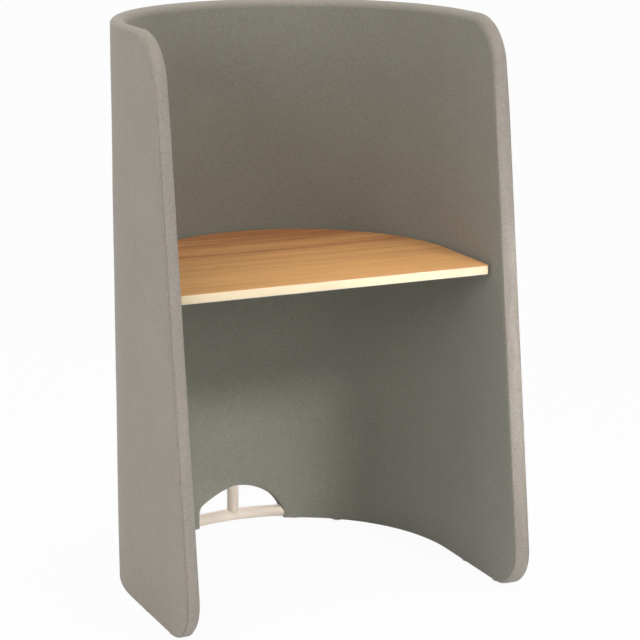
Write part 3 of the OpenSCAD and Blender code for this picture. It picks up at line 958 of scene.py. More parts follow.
    def fill_to_arch(self, points: list[np.ndarray], cells: list[tuple[int, int, int, int]], around: Sequence[int],
                     arch: Run) -> list[list[int]]:
        """Fills the gap between the grid and the arch with layers of cells.

        Args:
            points: The face's points; those of the layers are added.
            cells: The face's cells; those of the layers are added.
            around: Vertices of the grid round the gap, from the left foot to the right one.
            arch: As many points of the arch, and their directions inwards.

        Returns:
            The vertices of each layer, from the grid to the arch.
        """
        layers = [list(around)]
        for step in range(1, self.arch_layers + 1):
            share = step / self.arch_layers
            start = len(points)
            points += [points[outer] * (1 - share) + (spot + inward * self.border) * share
                       for outer, spot, inward in zip(around, *arch)]
            layers.append(list(range(start, len(points))))
        for a, b in zip(layers, layers[1:]):
            cells += [(a[i], b[i], b[i + 1], a[i + 1]) for i in range(len(around) - 1)]
        return layers

    def lay_out(self) -> None:
        """Fills the outline with four-sided cells, and lists the loop round them."""
        p, n = self.plan, self.side_columns
        low, front, high = self.side_routes()
        (low_q, low_n), (front_q, front_n), (high_q, high_n) = runs = (
            low.spaced(n + 1), front.spaced(self.rows + 1), high.spaced(n + 1))
        grid = self.face_grid(*runs)
        columns, rows = grid.shape[:2]
        left = n + self.quarter_columns
        right, last = left + self.near_columns, columns - n - 1
        top_row = self.arch_rows
        number = -np.ones((columns, rows), int)
        points: list[np.ndarray] = []
        for k in range(columns):
            for j in range(rows):
                if not (left < k < right and j < top_row):
                    number[k, j] = len(points)
                    points.append(grid[k, j])
        cells = [(number[k, j], number[k + 1, j], number[k + 1, j + 1], number[k, j + 1])
                 for k in range(columns - 1) for j in range(rows - 1)
                 if not (left <= k < right and j < top_row)]

        around = [*number[left, :top_row + 1], *number[left + 1:right, top_row], *number[right, top_row::-1]]
        arch_q, arch_n = self.arch_route().spaced(len(around))
        arch_n[0], arch_n[-1] = (-1, 0), (1, 0)
        layer = self.fill_to_arch(points, cells, around, (arch_q, arch_n))

        loop, edge, inwards = [], [], []

        def take(vertex: int, point: Sequence[float], inward: Sequence[float]) -> None:
            """Adds a vertex to the loop.

            Args:
                vertex: Its number in the face.
                point: Its place on the finished edge, as t and z.
                inward: The direction into the cloth there.
            """
            loop.append(int(vertex))
            edge.append(tuple(point))
            inwards.append(tuple(inward))

        # The loop goes from the arch along the floor to the left front edge, up it, over the top, down the right
        # front edge, back along the floor, and over the arch.
        flip = np.array([-1, 1])
        take(layer[-1][0], (arch_q[0][0], p.low), (-1, 1))
        for row in layer[-2:0:-1]:
            take(row[0], (points[row[0]][0], p.low), (0, 1))
        for k in range(left, n, -1):
            take(number[k, 0], (grid[k, 0, 0], p.low), (0, 1))
        for i in range(n):
            take(number[n - i, 0], low_q[i] * flip, low_n[i] * flip)
        for j in range(self.rows):
            take(number[0, j], front_q[j] * flip, front_n[j] * flip)
        for i in range(n):
            take(number[i, -1], high_q[i] * flip, high_n[i] * flip)
        for k in range(n, last):
            take(number[k, -1], (grid[k, -1, 0], p.height), (0, -1))
        for i in range(n):
            take(number[last + i, -1], high_q[n - i], high_n[n - i])
        for j in range(self.rows, 0, -1):
            take(number[-1, j], front_q[j], front_n[j])
        for i in range(n, 0, -1):
            take(number[last + i, 0], low_q[i], low_n[i])
        for k in range(last, right - 1, -1):
            take(number[k, 0], (grid[k, 0, 0], p.low), (0, 1))
        for row in layer[1:-1]:
            take(row[-1], (points[row[-1]][0], p.low), (0, 1))
        take(layer[-1][-1], (arch_q[-1][0], p.low), (1, 1))
        for i in range(len(around) - 2, 0, -1):
            take(layer[-1][i], arch_q[i], arch_n[i])

        self.flat, self.cells, self.loop = np.array(points), cells, loop
        self.edge, self.inwards = np.array(edge), np.array(inwards)
        dip_at, dip_width = self.hem_dip
        drop = np.exp(-((self.edge[:, 0] - dip_at) / dip_width) ** 2) * (self.edge[:, 1] < p.low + self.hem_band)
        self.edge[:, 1] -= self.hem_drop * drop

    # ---- the cover's mesh ----

    def profiles(self) -> tuple[Profile, Profile, Profile, Profile]:
        """Gives the edge's sections.

        Returns:
            Those of the sewn strip, the crown, the hem at the floor, and the arch's edge.
        """
        still = (0.0,) * len(self.outer_angles)

        def section(outer: Rounding, outer_lift: Sequence[float], inner: Rounding,
                    inner_lift: Sequence[float]) -> Profile:
            """Joins the two halves of a section.

            Args:
                outer: Sizes of the outer half.
                outer_lift: How far its points stand proud.
                inner: Sizes of the inner half.
                inner_lift: How far its points stand proud.

            Returns:
                The whole section.
            """
            half = self.plan.half_thickness
            inside = Profile.rounded(half, inner, self.inner_angles, inner_lift, -self.meeting)
            return Profile.rounded(half, outer, self.outer_angles, outer_lift, self.meeting).joined(inside)

        return (section(self.strip_edge, self.seam_lift, self.inner_edge, self.rim_lift),
                section(self.crown_edge, self.crown_lift, self.inner_edge, still),
                section(self.hem_edge, still, self.hem_edge, still),
                section(self.arch_edge, still, self.arch_edge, still))

    def weights(self) -> tuple[np.ndarray, np.ndarray, np.ndarray, np.ndarray]:
        """Says how much of each profile every loop point has.

        Returns:
            The shares of strip, crown, hem and arch.
        """
        along, height, top = np.abs(self.edge[:, 0]), self.edge[:, 1], self.plan.height

        def eased(start: float, end: float) -> np.ndarray:
            """Goes smoothly from 0 to 1 between two heights."""
            share = np.clip((height - start) / (end - start), 0, 1)
            return share * share * (3 - 2 * share)

        above = np.where(along > self.plan.near_back, eased(*self.strip_foot), 0)
        above = np.where(height > top / 2, 1.0, above)
        crown = eased(top - self.crown_drop[0], top - self.crown_drop[1])
        widest, highest = self.arch_span
        arch = np.where((along < widest) & (height > self.plan.low + self.hem_band) & (height < highest), 1.0, 0.0)
        return above * (1 - crown), above * crown, 1 - above - arch, arch

    def swell(self) -> tuple[np.ndarray, np.ndarray]:
        """Says how the padding stands out at each point of the laid-out face.

        Returns:
            How much of the full height each point has, and the low ridges over the uprights, in mm.
        """
        p = self.plan
        t, z = self.flat[:, 0], self.flat[:, 1]
        away = np.full(len(self.flat), np.inf)
        for along, height in self.edge[::3]:
            away = np.minimum(away, np.hypot(t - along, z - height))
        rise = 1 - np.exp(-np.maximum(away - self.border, 0) / self.rise_length)
        (ridge_height, ridge_width), (trough_depth, trough_off, trough_width) = self.ridge, self.trough
        lines = np.zeros(len(self.flat))
        for centre in (0.0, p.joint - p.upright_y, -(p.joint - p.upright_y)):
            off = np.abs(t - centre)
            lines += (ridge_height * np.exp(-(off / ridge_width) ** 2)
                      - trough_depth * np.exp(-((off - trough_off) / trough_width) ** 2))
        return rise, lines

    def waviness(self, seed: float) -> np.ndarray:
        """Gives the slack cloth's slight unevenness.

        Args:
            seed: Which pattern of waves.

        Returns:
            How far each point stands out, in mm.
        """
        return np.array([sum(size * noise.noise(Vector((t / long, z / high, seed + shift)))
                             for size, long, high, shift in self.slack) for t, z in self.flat])

    def padded(self, face: Face) -> np.ndarray:
        """Gives the points of one face.

        Args:
            face: Which face.

        Returns:
            The points, in metres.
        """
        rise, lines = self.swell()
        out = rise * (self.puff + self.waviness(self.slack_seeds[face]) + lines * self.ridge_share)
        return self.plan.put(self.flat[:, 0], self.flat[:, 1], face.value * (self.plan.half_thickness + out))

    def build(self) -> bpy.types.Object:
        """Builds the cover as one closed mesh with its own flat map.

        Returns:
            The piece.
        """
        self.lay_out()
        profiles = self.profiles()
        shares = self.weights()
        count, base = len(self.loop), len(self.flat)
        points = [self.padded(face) for face in Face]
        rings = []
        for m in range(len(profiles[0].inset)):
            mix = sum(share[:, None] * np.array([[q.inset[m], q.across[m]]])
                      for share, q in zip(shares, profiles))
            at = self.edge + self.inwards * mix[:, :1]
            rings.append(list(range(2 * base + m * count, 2 * base + (m + 1) * count)))
            points.append(self.plan.put(at[:, 0], at[:, 1], mix[:, 1]))
        faces = [tuple(c) for c in self.cells] + [tuple(v + base for v in reversed(c)) for c in self.cells]
        tour = [self.loop] + rings + [[v + base for v in self.loop]]
        for a, b in zip(tour, tour[1:]):
            faces += [(a[i], a[(i + 1) % count], b[(i + 1) % count], b[i]) for i in range(count)]
        piece = Mesher.build("upholstered_wall", np.vstack(points), faces, self.finishes.cover)
        Mesher.face_outwards(piece)
        self.map_flat(piece, base, count)
        self.shade_parts(piece, shares, base, count)
        return piece

    def shade_parts(self, piece: bpy.types.Object, shares: Sequence[np.ndarray], base: int, count: int) -> None:
        """Marks the sewn strip and the inner cloth, for the cloth's colours: the inner cloth's darker colour and its
        spread over the rim are painted shade, and the strip's lighter colour is painted light, with a painted
        highlight on the seam's crest.

        Args:
            piece: The cover.
            shares: How much of each profile every loop point has.
            base: Number of points in each face.
            count: Number of points in the loop.
        """
        total = len(piece.data.vertices)
        inside, strip = np.zeros(total), np.zeros(total)
        # Painted shade: the whole inner face takes the inner cloth's darker colour.
        inside[base:2 * base] = 1
        rings = (total - 2 * base) // count
        soft_start = rings - len(self.rim_shade)
        sewn = np.clip((self.plan.height - self.strip_fade[0] - self.edge[:, 1]) / self.strip_fade[1], 0, 1)
        sewn *= (self.edge[:, 1] > self.plan.low + self.sewn_foot) & (np.abs(self.edge[:, 0]) > self.plan.near_back)
        for m in range(rings):
            at = slice(2 * base + m * count, 2 * base + (m + 1) * count)
            soft = self.rim_shade[m - soft_start] if m >= soft_start else 0.0
            # Painted shade: over the crown the inner cloth's darker colour comes round the rim ring by ring.
            inside[at] = shares[1] * soft + (1 - shares[1]) * (m > self.rim_ring)
            # Painted light: the strip's lighter colour goes on the strip and on the seam's crest.
            strip[at] = sewn * (m in self.crest_highlight_rings or self.seam_ring < m <= self.rim_ring)
        for name, values in (("inside_shade_share", inside), ("strip_painted_light_share", strip)):
            piece.data.attributes.new(name, "FLOAT", "POINT").data.foreach_set("value", values)

    def map_flat(self, piece: bpy.types.Object, base: int, count: int) -> None:
        """Gives the cover a map that follows the cloth, in metres.

        Args:
            piece: The cover.
            base: Number of points in each face.
            count: Number of points in the loop.
        """
        mesh = piece.data
        spots = np.zeros((len(mesh.vertices), 2))
        spots[:base] = spots[base:2 * base] = self.flat * MM
        run = walked(self.edge) * MM
        place = np.zeros(len(mesh.vertices) * 3)
        mesh.vertices.foreach_get("co", place)
        place = place.reshape(-1, 3)
        rings = (len(mesh.vertices) - 2 * base) // count
        walk = np.zeros(count)
        last = place[self.loop]
        for m in range(rings):
            here = place[2 * base + m * count:2 * base + (m + 1) * count]
            walk = walk + np.linalg.norm(here - last, axis=1)
            last = here
            spots[2 * base + m * count:2 * base + (m + 1) * count] = np.stack([run, walk], -1)
        Mesher.lay_flat(piece, spots)

    def seam(self, face: Face) -> np.ndarray:
        """Gives the sewn line beside the strip, in metres.

        Args:
            face: On which face of the wall.

        Returns:
            Its points, from the left foot round the top to the right foot.
        """
        inset = self.stitch_insets[face]
        strip, crown = (profile.across_at(inset, face) for profile in self.profiles()[:2])
        shares = self.weights()
        keep = np.flatnonzero(shares[0] + shares[1] > self.seam_share)
        at = self.edge[keep] + self.inwards[keep] * inset
        across = strip * shares[0][keep] + crown * shares[1][keep] + self.stitch_lift * face.value
        return self.plan.put(at[:, 0], at[:, 1], across)


@dataclass
class StitchRow:
    """Rows of stitches that follow a seam, made by Geometry Nodes."""

    pitch: float = 4.0
    length: float = 3.0
    thread: float = 0.32
    segments: int = 6
    rings: int = 4

    def sizes(self) -> dict[str, float]:
        """Gives the tree's inputs in metres."""
        return {"Pitch": self.pitch * MM, "Stitch Length": self.length * MM, "Thread Radius": self.thread * MM}

    def tree(self, material: bpy.types.Material) -> bpy.types.NodeTree:
        """Builds the node tree.

        Args:
            material: The thread's finish.

        Returns:
            The tree, with its sizes as named inputs.
        """
        tree = bpy.data.node_groups.new("stitch_row", "GeometryNodeTree")
        sockets = tree.interface
        sockets.new_socket("Seam", in_out="INPUT", socket_type="NodeSocketGeometry")
        for name, value in self.sizes().items():
            sockets.new_socket(name, in_out="INPUT", socket_type="NodeSocketFloat").default_value = value
        sockets.new_socket("Stitches", in_out="OUTPUT", socket_type="NodeSocketGeometry")
        nodes = tree.nodes
        start, end = nodes.new("NodeGroupInput"), nodes.new("NodeGroupOutput")
        spots = nodes.new("GeometryNodeCurveToPoints")
        spots.mode = "LENGTH"
        bead = nodes.new("GeometryNodeMeshUVSphere")
        for name, value in (("Segments", self.segments), ("Rings", self.rings), ("Radius", 1.0)):
            bead.inputs[name].default_value = value
        size, half = nodes.new("ShaderNodeCombineXYZ"), nodes.new("ShaderNodeMath")
        half.operation = "MULTIPLY"
        half.inputs[1].default_value = 0.5
        instance, realise = nodes.new("GeometryNodeInstanceOnPoints"), nodes.new("GeometryNodeRealizeInstances")
        paint = nodes.new("GeometryNodeSetMaterial")
        paint.inputs["Material"].default_value = material
        for source, output, node, entry in (
                (start, "Seam", spots, "Curve"), (start, "Pitch", spots, "Length"),
                (start, "Stitch Length", half, 0), (start, "Thread Radius", size, 0),
                (start, "Thread Radius", size, 1), (half, 0, size, 2),
                (spots, "Points", instance, "Points"), (spots, "Rotation", instance, "Rotation"),
                (bead, "Mesh", instance, "Instance"), (size, 0, instance, "Scale"),
                (instance, 0, realise, 0), (realise, 0, paint, "Geometry"), (paint, 0, end, 0)):
            tree.links.new(source.outputs[output], node.inputs[entry])
        return tree

    def sew(self, name: str, lines: Sequence[np.ndarray], material: bpy.types.Material) -> bpy.types.Object:
        """Sews stitches along lines.

        Args:
            name: Name of the piece.
            lines: Points of each line, in metres.
            material: The thread's finish.

        Returns:
            The stitches as one plain mesh.
        """
        curve = bpy.data.curves.new(name + "_line", "CURVE")
        curve.dimensions = "3D"
        for points in lines:
            spline = curve.splines.new("POLY")
            spline.points.add(len(points) - 1)
            spline.points.foreach_set("co", np.hstack([points, np.ones((len(points), 1))]).ravel())
        guide = bpy.data.objects.new(name + "_guide", curve)
        bpy.context.scene.collection.objects.link(guide)
        modifier = guide.modifiers.new("stitches", "NODES")
        modifier.node_group = self.tree(material)
        sizes = self.sizes()
        for item in modifier.node_group.interface.items_tree:
            if item.in_out == "INPUT" and item.name in sizes:
                modifier[item.identifier] = sizes[item.name]
        piece = Mesher.realised(guide, name)
        piece.data.polygons.foreach_set("use_smooth", [True] * len(piece.data.polygons))
        return piece


@dataclass
class LiningStrips:
    """The plain cloth strips: the arch's lining, and the flaps that close the cover under the rail.

    `dents` gives the strip's visible side as a hollow and a share of its half width: it is slack between its sewn
    edges. `floor_gap` lifts the lining's ends off the hem, and its right end stands `right_step` further out. A flap
    starts where the arch ends, left and right, and ends `flap_end` in front of the joint with the flat side.
    """

    plan: WallPlan
    wall: UpholsteredWall
    finishes: Finishes
    half_width: float = 13.0
    cloth: float = 1.3
    turned_edge: float = 0.8
    dents: tuple[tuple[float, float], ...] = ((0.12, -0.5), (0.2, 0.0), (0.12, 0.5))
    edge_dent: float = 0.25
    back_inset: float = 0.2
    arch_rows: int = 110
    arch_start: float = -0.2
    floor_gap: float = 0.6
    right_step: float = 0.9
    flap_rows: int = 140
    flap_starts: dict[Hand, float] = field(default_factory=lambda: {Hand.LEFT: 99.0, Hand.RIGHT: 125.0})
    flap_end: float = 238.0
    foot_spots: tuple[tuple[float, float], ...] = ((393.0, -224.862), (393.0, -80.0), (241.955, 309.688))
    foot_hole: float = 7.3
    hole_depth: float = 8.0
    hole_sides: int = 32

    def strip(self, name: str, at: np.ndarray, inwards: np.ndarray, start: float) -> bpy.types.Object:
        """Makes a strip that follows a run of the wall's edge.

        Args:
            name: Name of the piece.
            at: Points of the run, as t and z.
            inwards: Direction into the wall at each.
            start: How far in the strip's visible face lies.

        Returns:
            The piece, as a closed cloth.
        """
        half, thick, turned, back = self.half_width, self.cloth, self.turned_edge, self.back_inset
        front = [(dent, share * half) for dent, share in self.dents]
        section = [(self.edge_dent, -half), (0, -half + turned), *front, (0, half - turned), (self.edge_dent, half),
                   (thick, half - back), (thick, 0), (thick, -half + back)]
        rows = [self.plan.put(at[:, 0] + inwards[:, 0] * (start + d), at[:, 1] + inwards[:, 1] * (start + d),
                              np.full(len(at), w)) for d, w in section]
        points = np.stack(rows, 1).reshape(-1, 3)
        piece = Mesher.build(name, points, Mesher.capped(len(at), len(section)), self.finishes.lining)
        Mesher.face_outwards(piece)
        Mesher.lay_flat(piece, np.array([(run, w * MM) for run in walked(at) * MM for _, w in section]))
        return piece

    def arch(self) -> bpy.types.Object:
        """Returns:
            The piece.
        """
        at, inwards = self.wall.arch_route().spaced(self.arch_rows)
        z = self.plan.low + self.floor_gap
        at = np.vstack([[(at[0][0], z)], at, [(at[-1][0] + self.right_step, z)]])
        piece = self.strip("arch_lining", at, np.vstack([[(-1, 0)], inwards, [(1, 0)]]), self.arch_start)
        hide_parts("arch_facing")
        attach(piece, "carrel")
        return piece

    def flap(self, hand: Hand) -> bpy.types.Object:
        """Makes one closing flap, with holes for the feet's inserts.

        Args:
            hand: Which side's flap.

        Returns:
            The piece.
        """
        node = hand.name.lower() + "_closing_flap"
        end = self.plan.joint + self.flap_end
        t = np.linspace(self.flap_starts[hand], end, self.flap_rows) * hand.value
        at = np.stack([t, np.full(len(t), self.plan.low)], -1)
        piece = self.strip(node + "_cloth", at, np.tile([0.0, 1.0], (len(t), 1)), 0.0)
        for x, y in self.foot_spots:
            place = Vector((hand.value * x, y - self.plan.middle_y, self.plan.low)) * MM
            bpy.ops.mesh.primitive_cylinder_add(radius=self.foot_hole * MM, depth=self.hole_depth * MM,
                                                vertices=self.hole_sides, location=place)
            cutter = bpy.context.object
            hole = piece.modifiers.new("hole", "BOOLEAN")
            hole.operation, hole.object, hole.solver = "DIFFERENCE", cutter, "EXACT"
            mesh = bpy.data.meshes.new_from_object(piece.evaluated_get(bpy.context.evaluated_depsgraph_get()))
            piece.modifiers.clear()
            piece.data = mesh
            bpy.data.objects.remove(cutter)
        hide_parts(node)
        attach(piece, "carrel")
        return piece


@dataclass
class Desk:
    """The D-shaped desk: laminate on a board, with a cream band round its edge.

    The points are those of its round back, of half its sides, of a corner and of its front. `lid` is the inset of
    the flat face that closes a plate, the eases are the sizes of the eased edges, and `band_edge` gives the band's
    rounded edge as insets and steps from the laminate.
    """

    plan: WallPlan
    finishes: Finishes
    radius: float = 366.0
    front: float = 202.0
    corner: float = 8.0
    top: float = 730.0
    thickness: float = 20.0
    laminate: float = 0.8
    band: float = 1.5
    back_points: int = 181
    side_points: int = 12
    corner_points: int = 13
    front_points: int = 30
    lid: float = 6.0
    top_ease: float = 0.25
    backing_ease: float = 0.2
    bend: float = 0.3
    band_edge: tuple[tuple[float, float], ...] = ((0.45, 0.0), (0.12, 0.14), (0.0, 0.5))

    def outline(self, inset: float) -> np.ndarray:
        """Gives the desk's edge from above, in mm, going anticlockwise.

        Args:
            inset: Distance inside the finished edge.

        Returns:
            One row of x and y for each point.
        """
        r, f, c = self.radius - inset, -self.front + inset, self.corner - inset

        def arc(x: float, y: float, size: float, start: float, end: float, count: int) -> list[tuple[float, float]]:
            """Gives points of an arc round x and y, from one angle to another in half turns."""
            return [(x + size * math.cos(a), y + size * math.sin(a))
                    for a in np.linspace(start * math.pi, end * math.pi, count)]

        side = np.linspace(0, f + c, self.side_points)[1:-1]
        back_side = np.linspace(f + c, 0, self.side_points)[1:-1]
        front = np.linspace(-r + c, r - c, self.front_points)[1:-1]
        return np.array([*arc(0, 0, r, 0, 1, self.back_points), *((-r, y) for y in side),
                         *arc(-r + c, f + c, c, 1, 1.5, self.corner_points), *((x, f) for x in front),
                         *arc(r - c, f + c, c, 1.5, 2, self.corner_points), *((r, y) for y in back_side)])

    def rings(self, steps: Sequence[tuple[float, float]]) -> np.ndarray:
        """Gives rings of points round the desk.

        Args:
            steps: Inset and height of each ring.

        Returns:
            The points, in metres.
        """
        rows = []
        for inset, z in steps:
            xy = self.outline(inset)
            rows.append(np.column_stack([xy[:, 0], xy[:, 1] - self.plan.middle_y, np.full(len(xy), z)]))
        return np.vstack(rows) * MM

    def plate(self, name: str, low: float, high: float, ease: float,
              material: bpy.types.Material) -> bpy.types.Object:
        """Makes a sheet of the desk with eased edges.

        Args:
            name: Name of the piece.
            low: Height of its underside.
            high: Height of its upper side.
            ease: Size of the eased edge.
            material: Its finish.

        Returns:
            The piece.
        """
        bend = self.bend * ease
        steps = [(self.lid, low), (ease, low), (bend, low + bend), (0, low + ease), (0, high - ease),
                 (bend, high - bend), (ease, high), (self.lid, high)]
        points = self.rings(steps)
        piece = Mesher.build(name, points, Mesher.capped(len(steps), len(points) // len(steps)), material)
        Mesher.face_outwards(piece)
        return piece

    def edge_band(self) -> bpy.types.Object:
        """Makes the band round the board, with softly rounded corners where it meets the laminates.

        Returns:
            The piece.
        """
        low, high = self.top - self.thickness + self.laminate, self.top - self.laminate
        steps = [(self.band, low), *((inset, low + step) for inset, step in self.band_edge), (0, (low + high) / 2),
                 *((inset, high - step) for inset, step in reversed(self.band_edge)), (self.band, high)]
        points = self.rings(steps)
        faces = Mesher.grid(len(steps), len(points) // len(steps), closed_rows=True, closed_columns=True)
        piece = Mesher.build("desk_edge_band_strip", points, faces, self.finishes.band)
        Mesher.face_outwards(piece)
        return piece

    def build(self) -> list[bpy.types.Object]:
        """Builds the desk's visible pieces.

        Returns:
            The pieces.
        """
        low = self.top - self.thickness
        pieces = []
        for piece, node, slot in (
                (self.plate("desk_top_sheet", self.top - self.laminate, self.top, self.top_ease, self.finishes.wood),
                 "desk_top_laminate", "wood_laminate"),
                (self.plate("desk_backing_sheet", low, low + self.laminate, self.backing_ease, self.finishes.backing),
                 "desk_backing_laminate", "backing_laminate"),
                (self.edge_band(), "desk_edge_band", "edge_band")):
            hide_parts(node)
            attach(piece, "carrel")
            pieces.append(piece)
        return pieces


@dataclass
class FrameTubes:
    """The frame's tubes that show in the arch, with their weld.

    `cope` is how far the upright's ends are cut out to sit on the rails, as a share of the distance from its middle.
    The weld is a ring of `weld` radius whose surface ripples `ripples` times round the upright.
    """

    plan: WallPlan
    finishes: Finishes
    radius: float = 14.0
    rail_height: float = 19.5
    top_height: float = 1253.0
    joint_y: float = 14.95
    sides: int = 40
    rail_rows: int = 150
    upright_rows: int = 60
    cope: float = 0.98
    weld: float = 1.7
    weld_rows: int = 120
    weld_sides: int = 10
    weld_lift: float = 2.0
    ripple: float = 0.12
    ripples: int = 26

    @staticmethod
    def turn(count: int) -> np.ndarray:
        """Gives angles spaced evenly round a full turn."""
        return np.linspace(0, 2 * math.pi, count, endpoint=False)

    def bottom_rail(self) -> bpy.types.Object:
        """Makes the half-round bottom rail.

        Returns:
            The piece.
        """
        end = self.plan.joint + self.joint_y
        turn = self.turn(self.sides)
        points = np.vstack([self.plan.put(np.full(self.sides, s), self.rail_height + self.radius * np.sin(turn),
                                          self.radius * np.cos(turn)) for s in np.linspace(-end, end, self.rail_rows)])
        faces = Mesher.capped(self.rail_rows, self.sides)
        piece = Mesher.build("bottom_rail_tube", points, faces, self.finishes.frame_paint)
        Mesher.face_outwards(piece)
        return piece

    def weld_ring(self) -> np.ndarray:
        """Lays the weld round the upright's foot.

        Returns:
            Its points, in metres, ring after ring of its section.
        """
        points = []
        for a in self.turn(self.weld_rows):
            size = self.weld * (1 + self.ripple * math.cos(self.ripples * a))
            out = np.array([math.cos(a), math.sin(a), 0.0])
            centre = np.array([self.radius * math.cos(a), self.radius * math.sin(a),
                               math.hypot(self.radius * math.cos(a), self.weld_lift)])
            for b in self.turn(self.weld_sides):
                points.append(centre + size * (math.cos(b) * out + math.sin(b) * np.array([0, 0, 1.0])))
        return (np.array(points) + [0, self.plan.middle_radius - self.plan.middle_y, self.rail_height]) * MM

    def back_upright(self) -> bpy.types.Object:
        """Makes the back upright, coped onto the rails, with the weld round its foot.

        Returns:
            The piece.
        """
        turn = self.turn(self.sides)
        x, y = self.radius * np.cos(turn), self.radius * np.sin(turn)
        foot, head = self.rail_height + np.abs(x) * self.cope, self.top_height - np.abs(x) * self.cope
        points = np.vstack([
            np.column_stack([x, self.plan.middle_radius + y - self.plan.middle_y, foot + (head - foot) * share])
            for share in np.linspace(0, 1, self.upright_rows)]) * MM
        faces = Mesher.capped(self.upright_rows, self.sides)
        faces += [tuple(len(points) + v for v in face)
                  for face in Mesher.grid(self.weld_rows, self.weld_sides, closed_rows=True, closed_columns=True)]
        piece = Mesher.build("back_upright_tube", np.vstack([points, self.weld_ring()]), faces,
                             self.finishes.frame_paint)
        Mesher.face_outwards(piece)
        return piece

    def build(self) -> list[bpy.types.Object]:
        """Builds the visible tubes.

        Returns:
            The pieces.
        """
        pieces = [self.bottom_rail(), self.back_upright()]
        for piece, node in zip(pieces, ("bottom_back_rail", "back_upright")):
            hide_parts(node)
            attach(piece, "carrel")
        return pieces


@dataclass
class Fittings:
    """The CAD parts that stay as they are and only get their finish."""

    finishes: Finishes

    def table(self) -> dict[str, bpy.types.Material]:
        """Says which finish each CAD part gets, by the start of its name.

        Returns:
            Finish by name or start of a name.
        """
        f = self.finishes
        groups = (
            (f.frame_paint, "left_front_tube", "right_front_tube", "left_side_upright", "right_side_upright",
             "top_back_rail", "bottom_back_rail", "back_upright"),
            (f.steel, "joint_", "bracket_", "desk_screws", "foot_inserts", "foot_stud"),
            (f.bracket_paint, "left_bracket", "right_bracket", "back_bracket"),
            (f.foot_plastic, "foot_pad"),
            (f.board, "desk_core"), (f.wood, "desk_top_laminate"), (f.backing, "desk_backing_laminate"),
            (f.band, "desk_edge_band"),
            (f.cover, "outer_cover", "inner_cover", "edge_gusset"),
            (f.lining, "arch_facing", "left_closing_flap", "right_closing_flap"),
            (f.wadding, "outer_wadding", "inner_wadding", "edge_wadding"),
            (f.foam, "left_side_core", "right_side_core", "left_back_core", "right_back_core"),
        )
        return {name: finish for finish, *names in groups for name in names}

    def dress(self) -> None:
        """Gives every CAD part its finish."""
        table = self.table()
        for name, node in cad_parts.items():
            finish = next(f for start, f in table.items() if name.startswith(start))
            node.data.materials.clear()
            node.data.materials.append(finish)


@dataclass(frozen=True)
class SoftLamp:
    """A square soft lamp: metres, watts, and degrees of spread. It points at `aim`, or at the carrel's middle."""

    name: str
    place: tuple[float, float, float]
    size: float
    power: float
    aim: Optional[tuple[float, float, float]] = None
    spread: float = 180.0


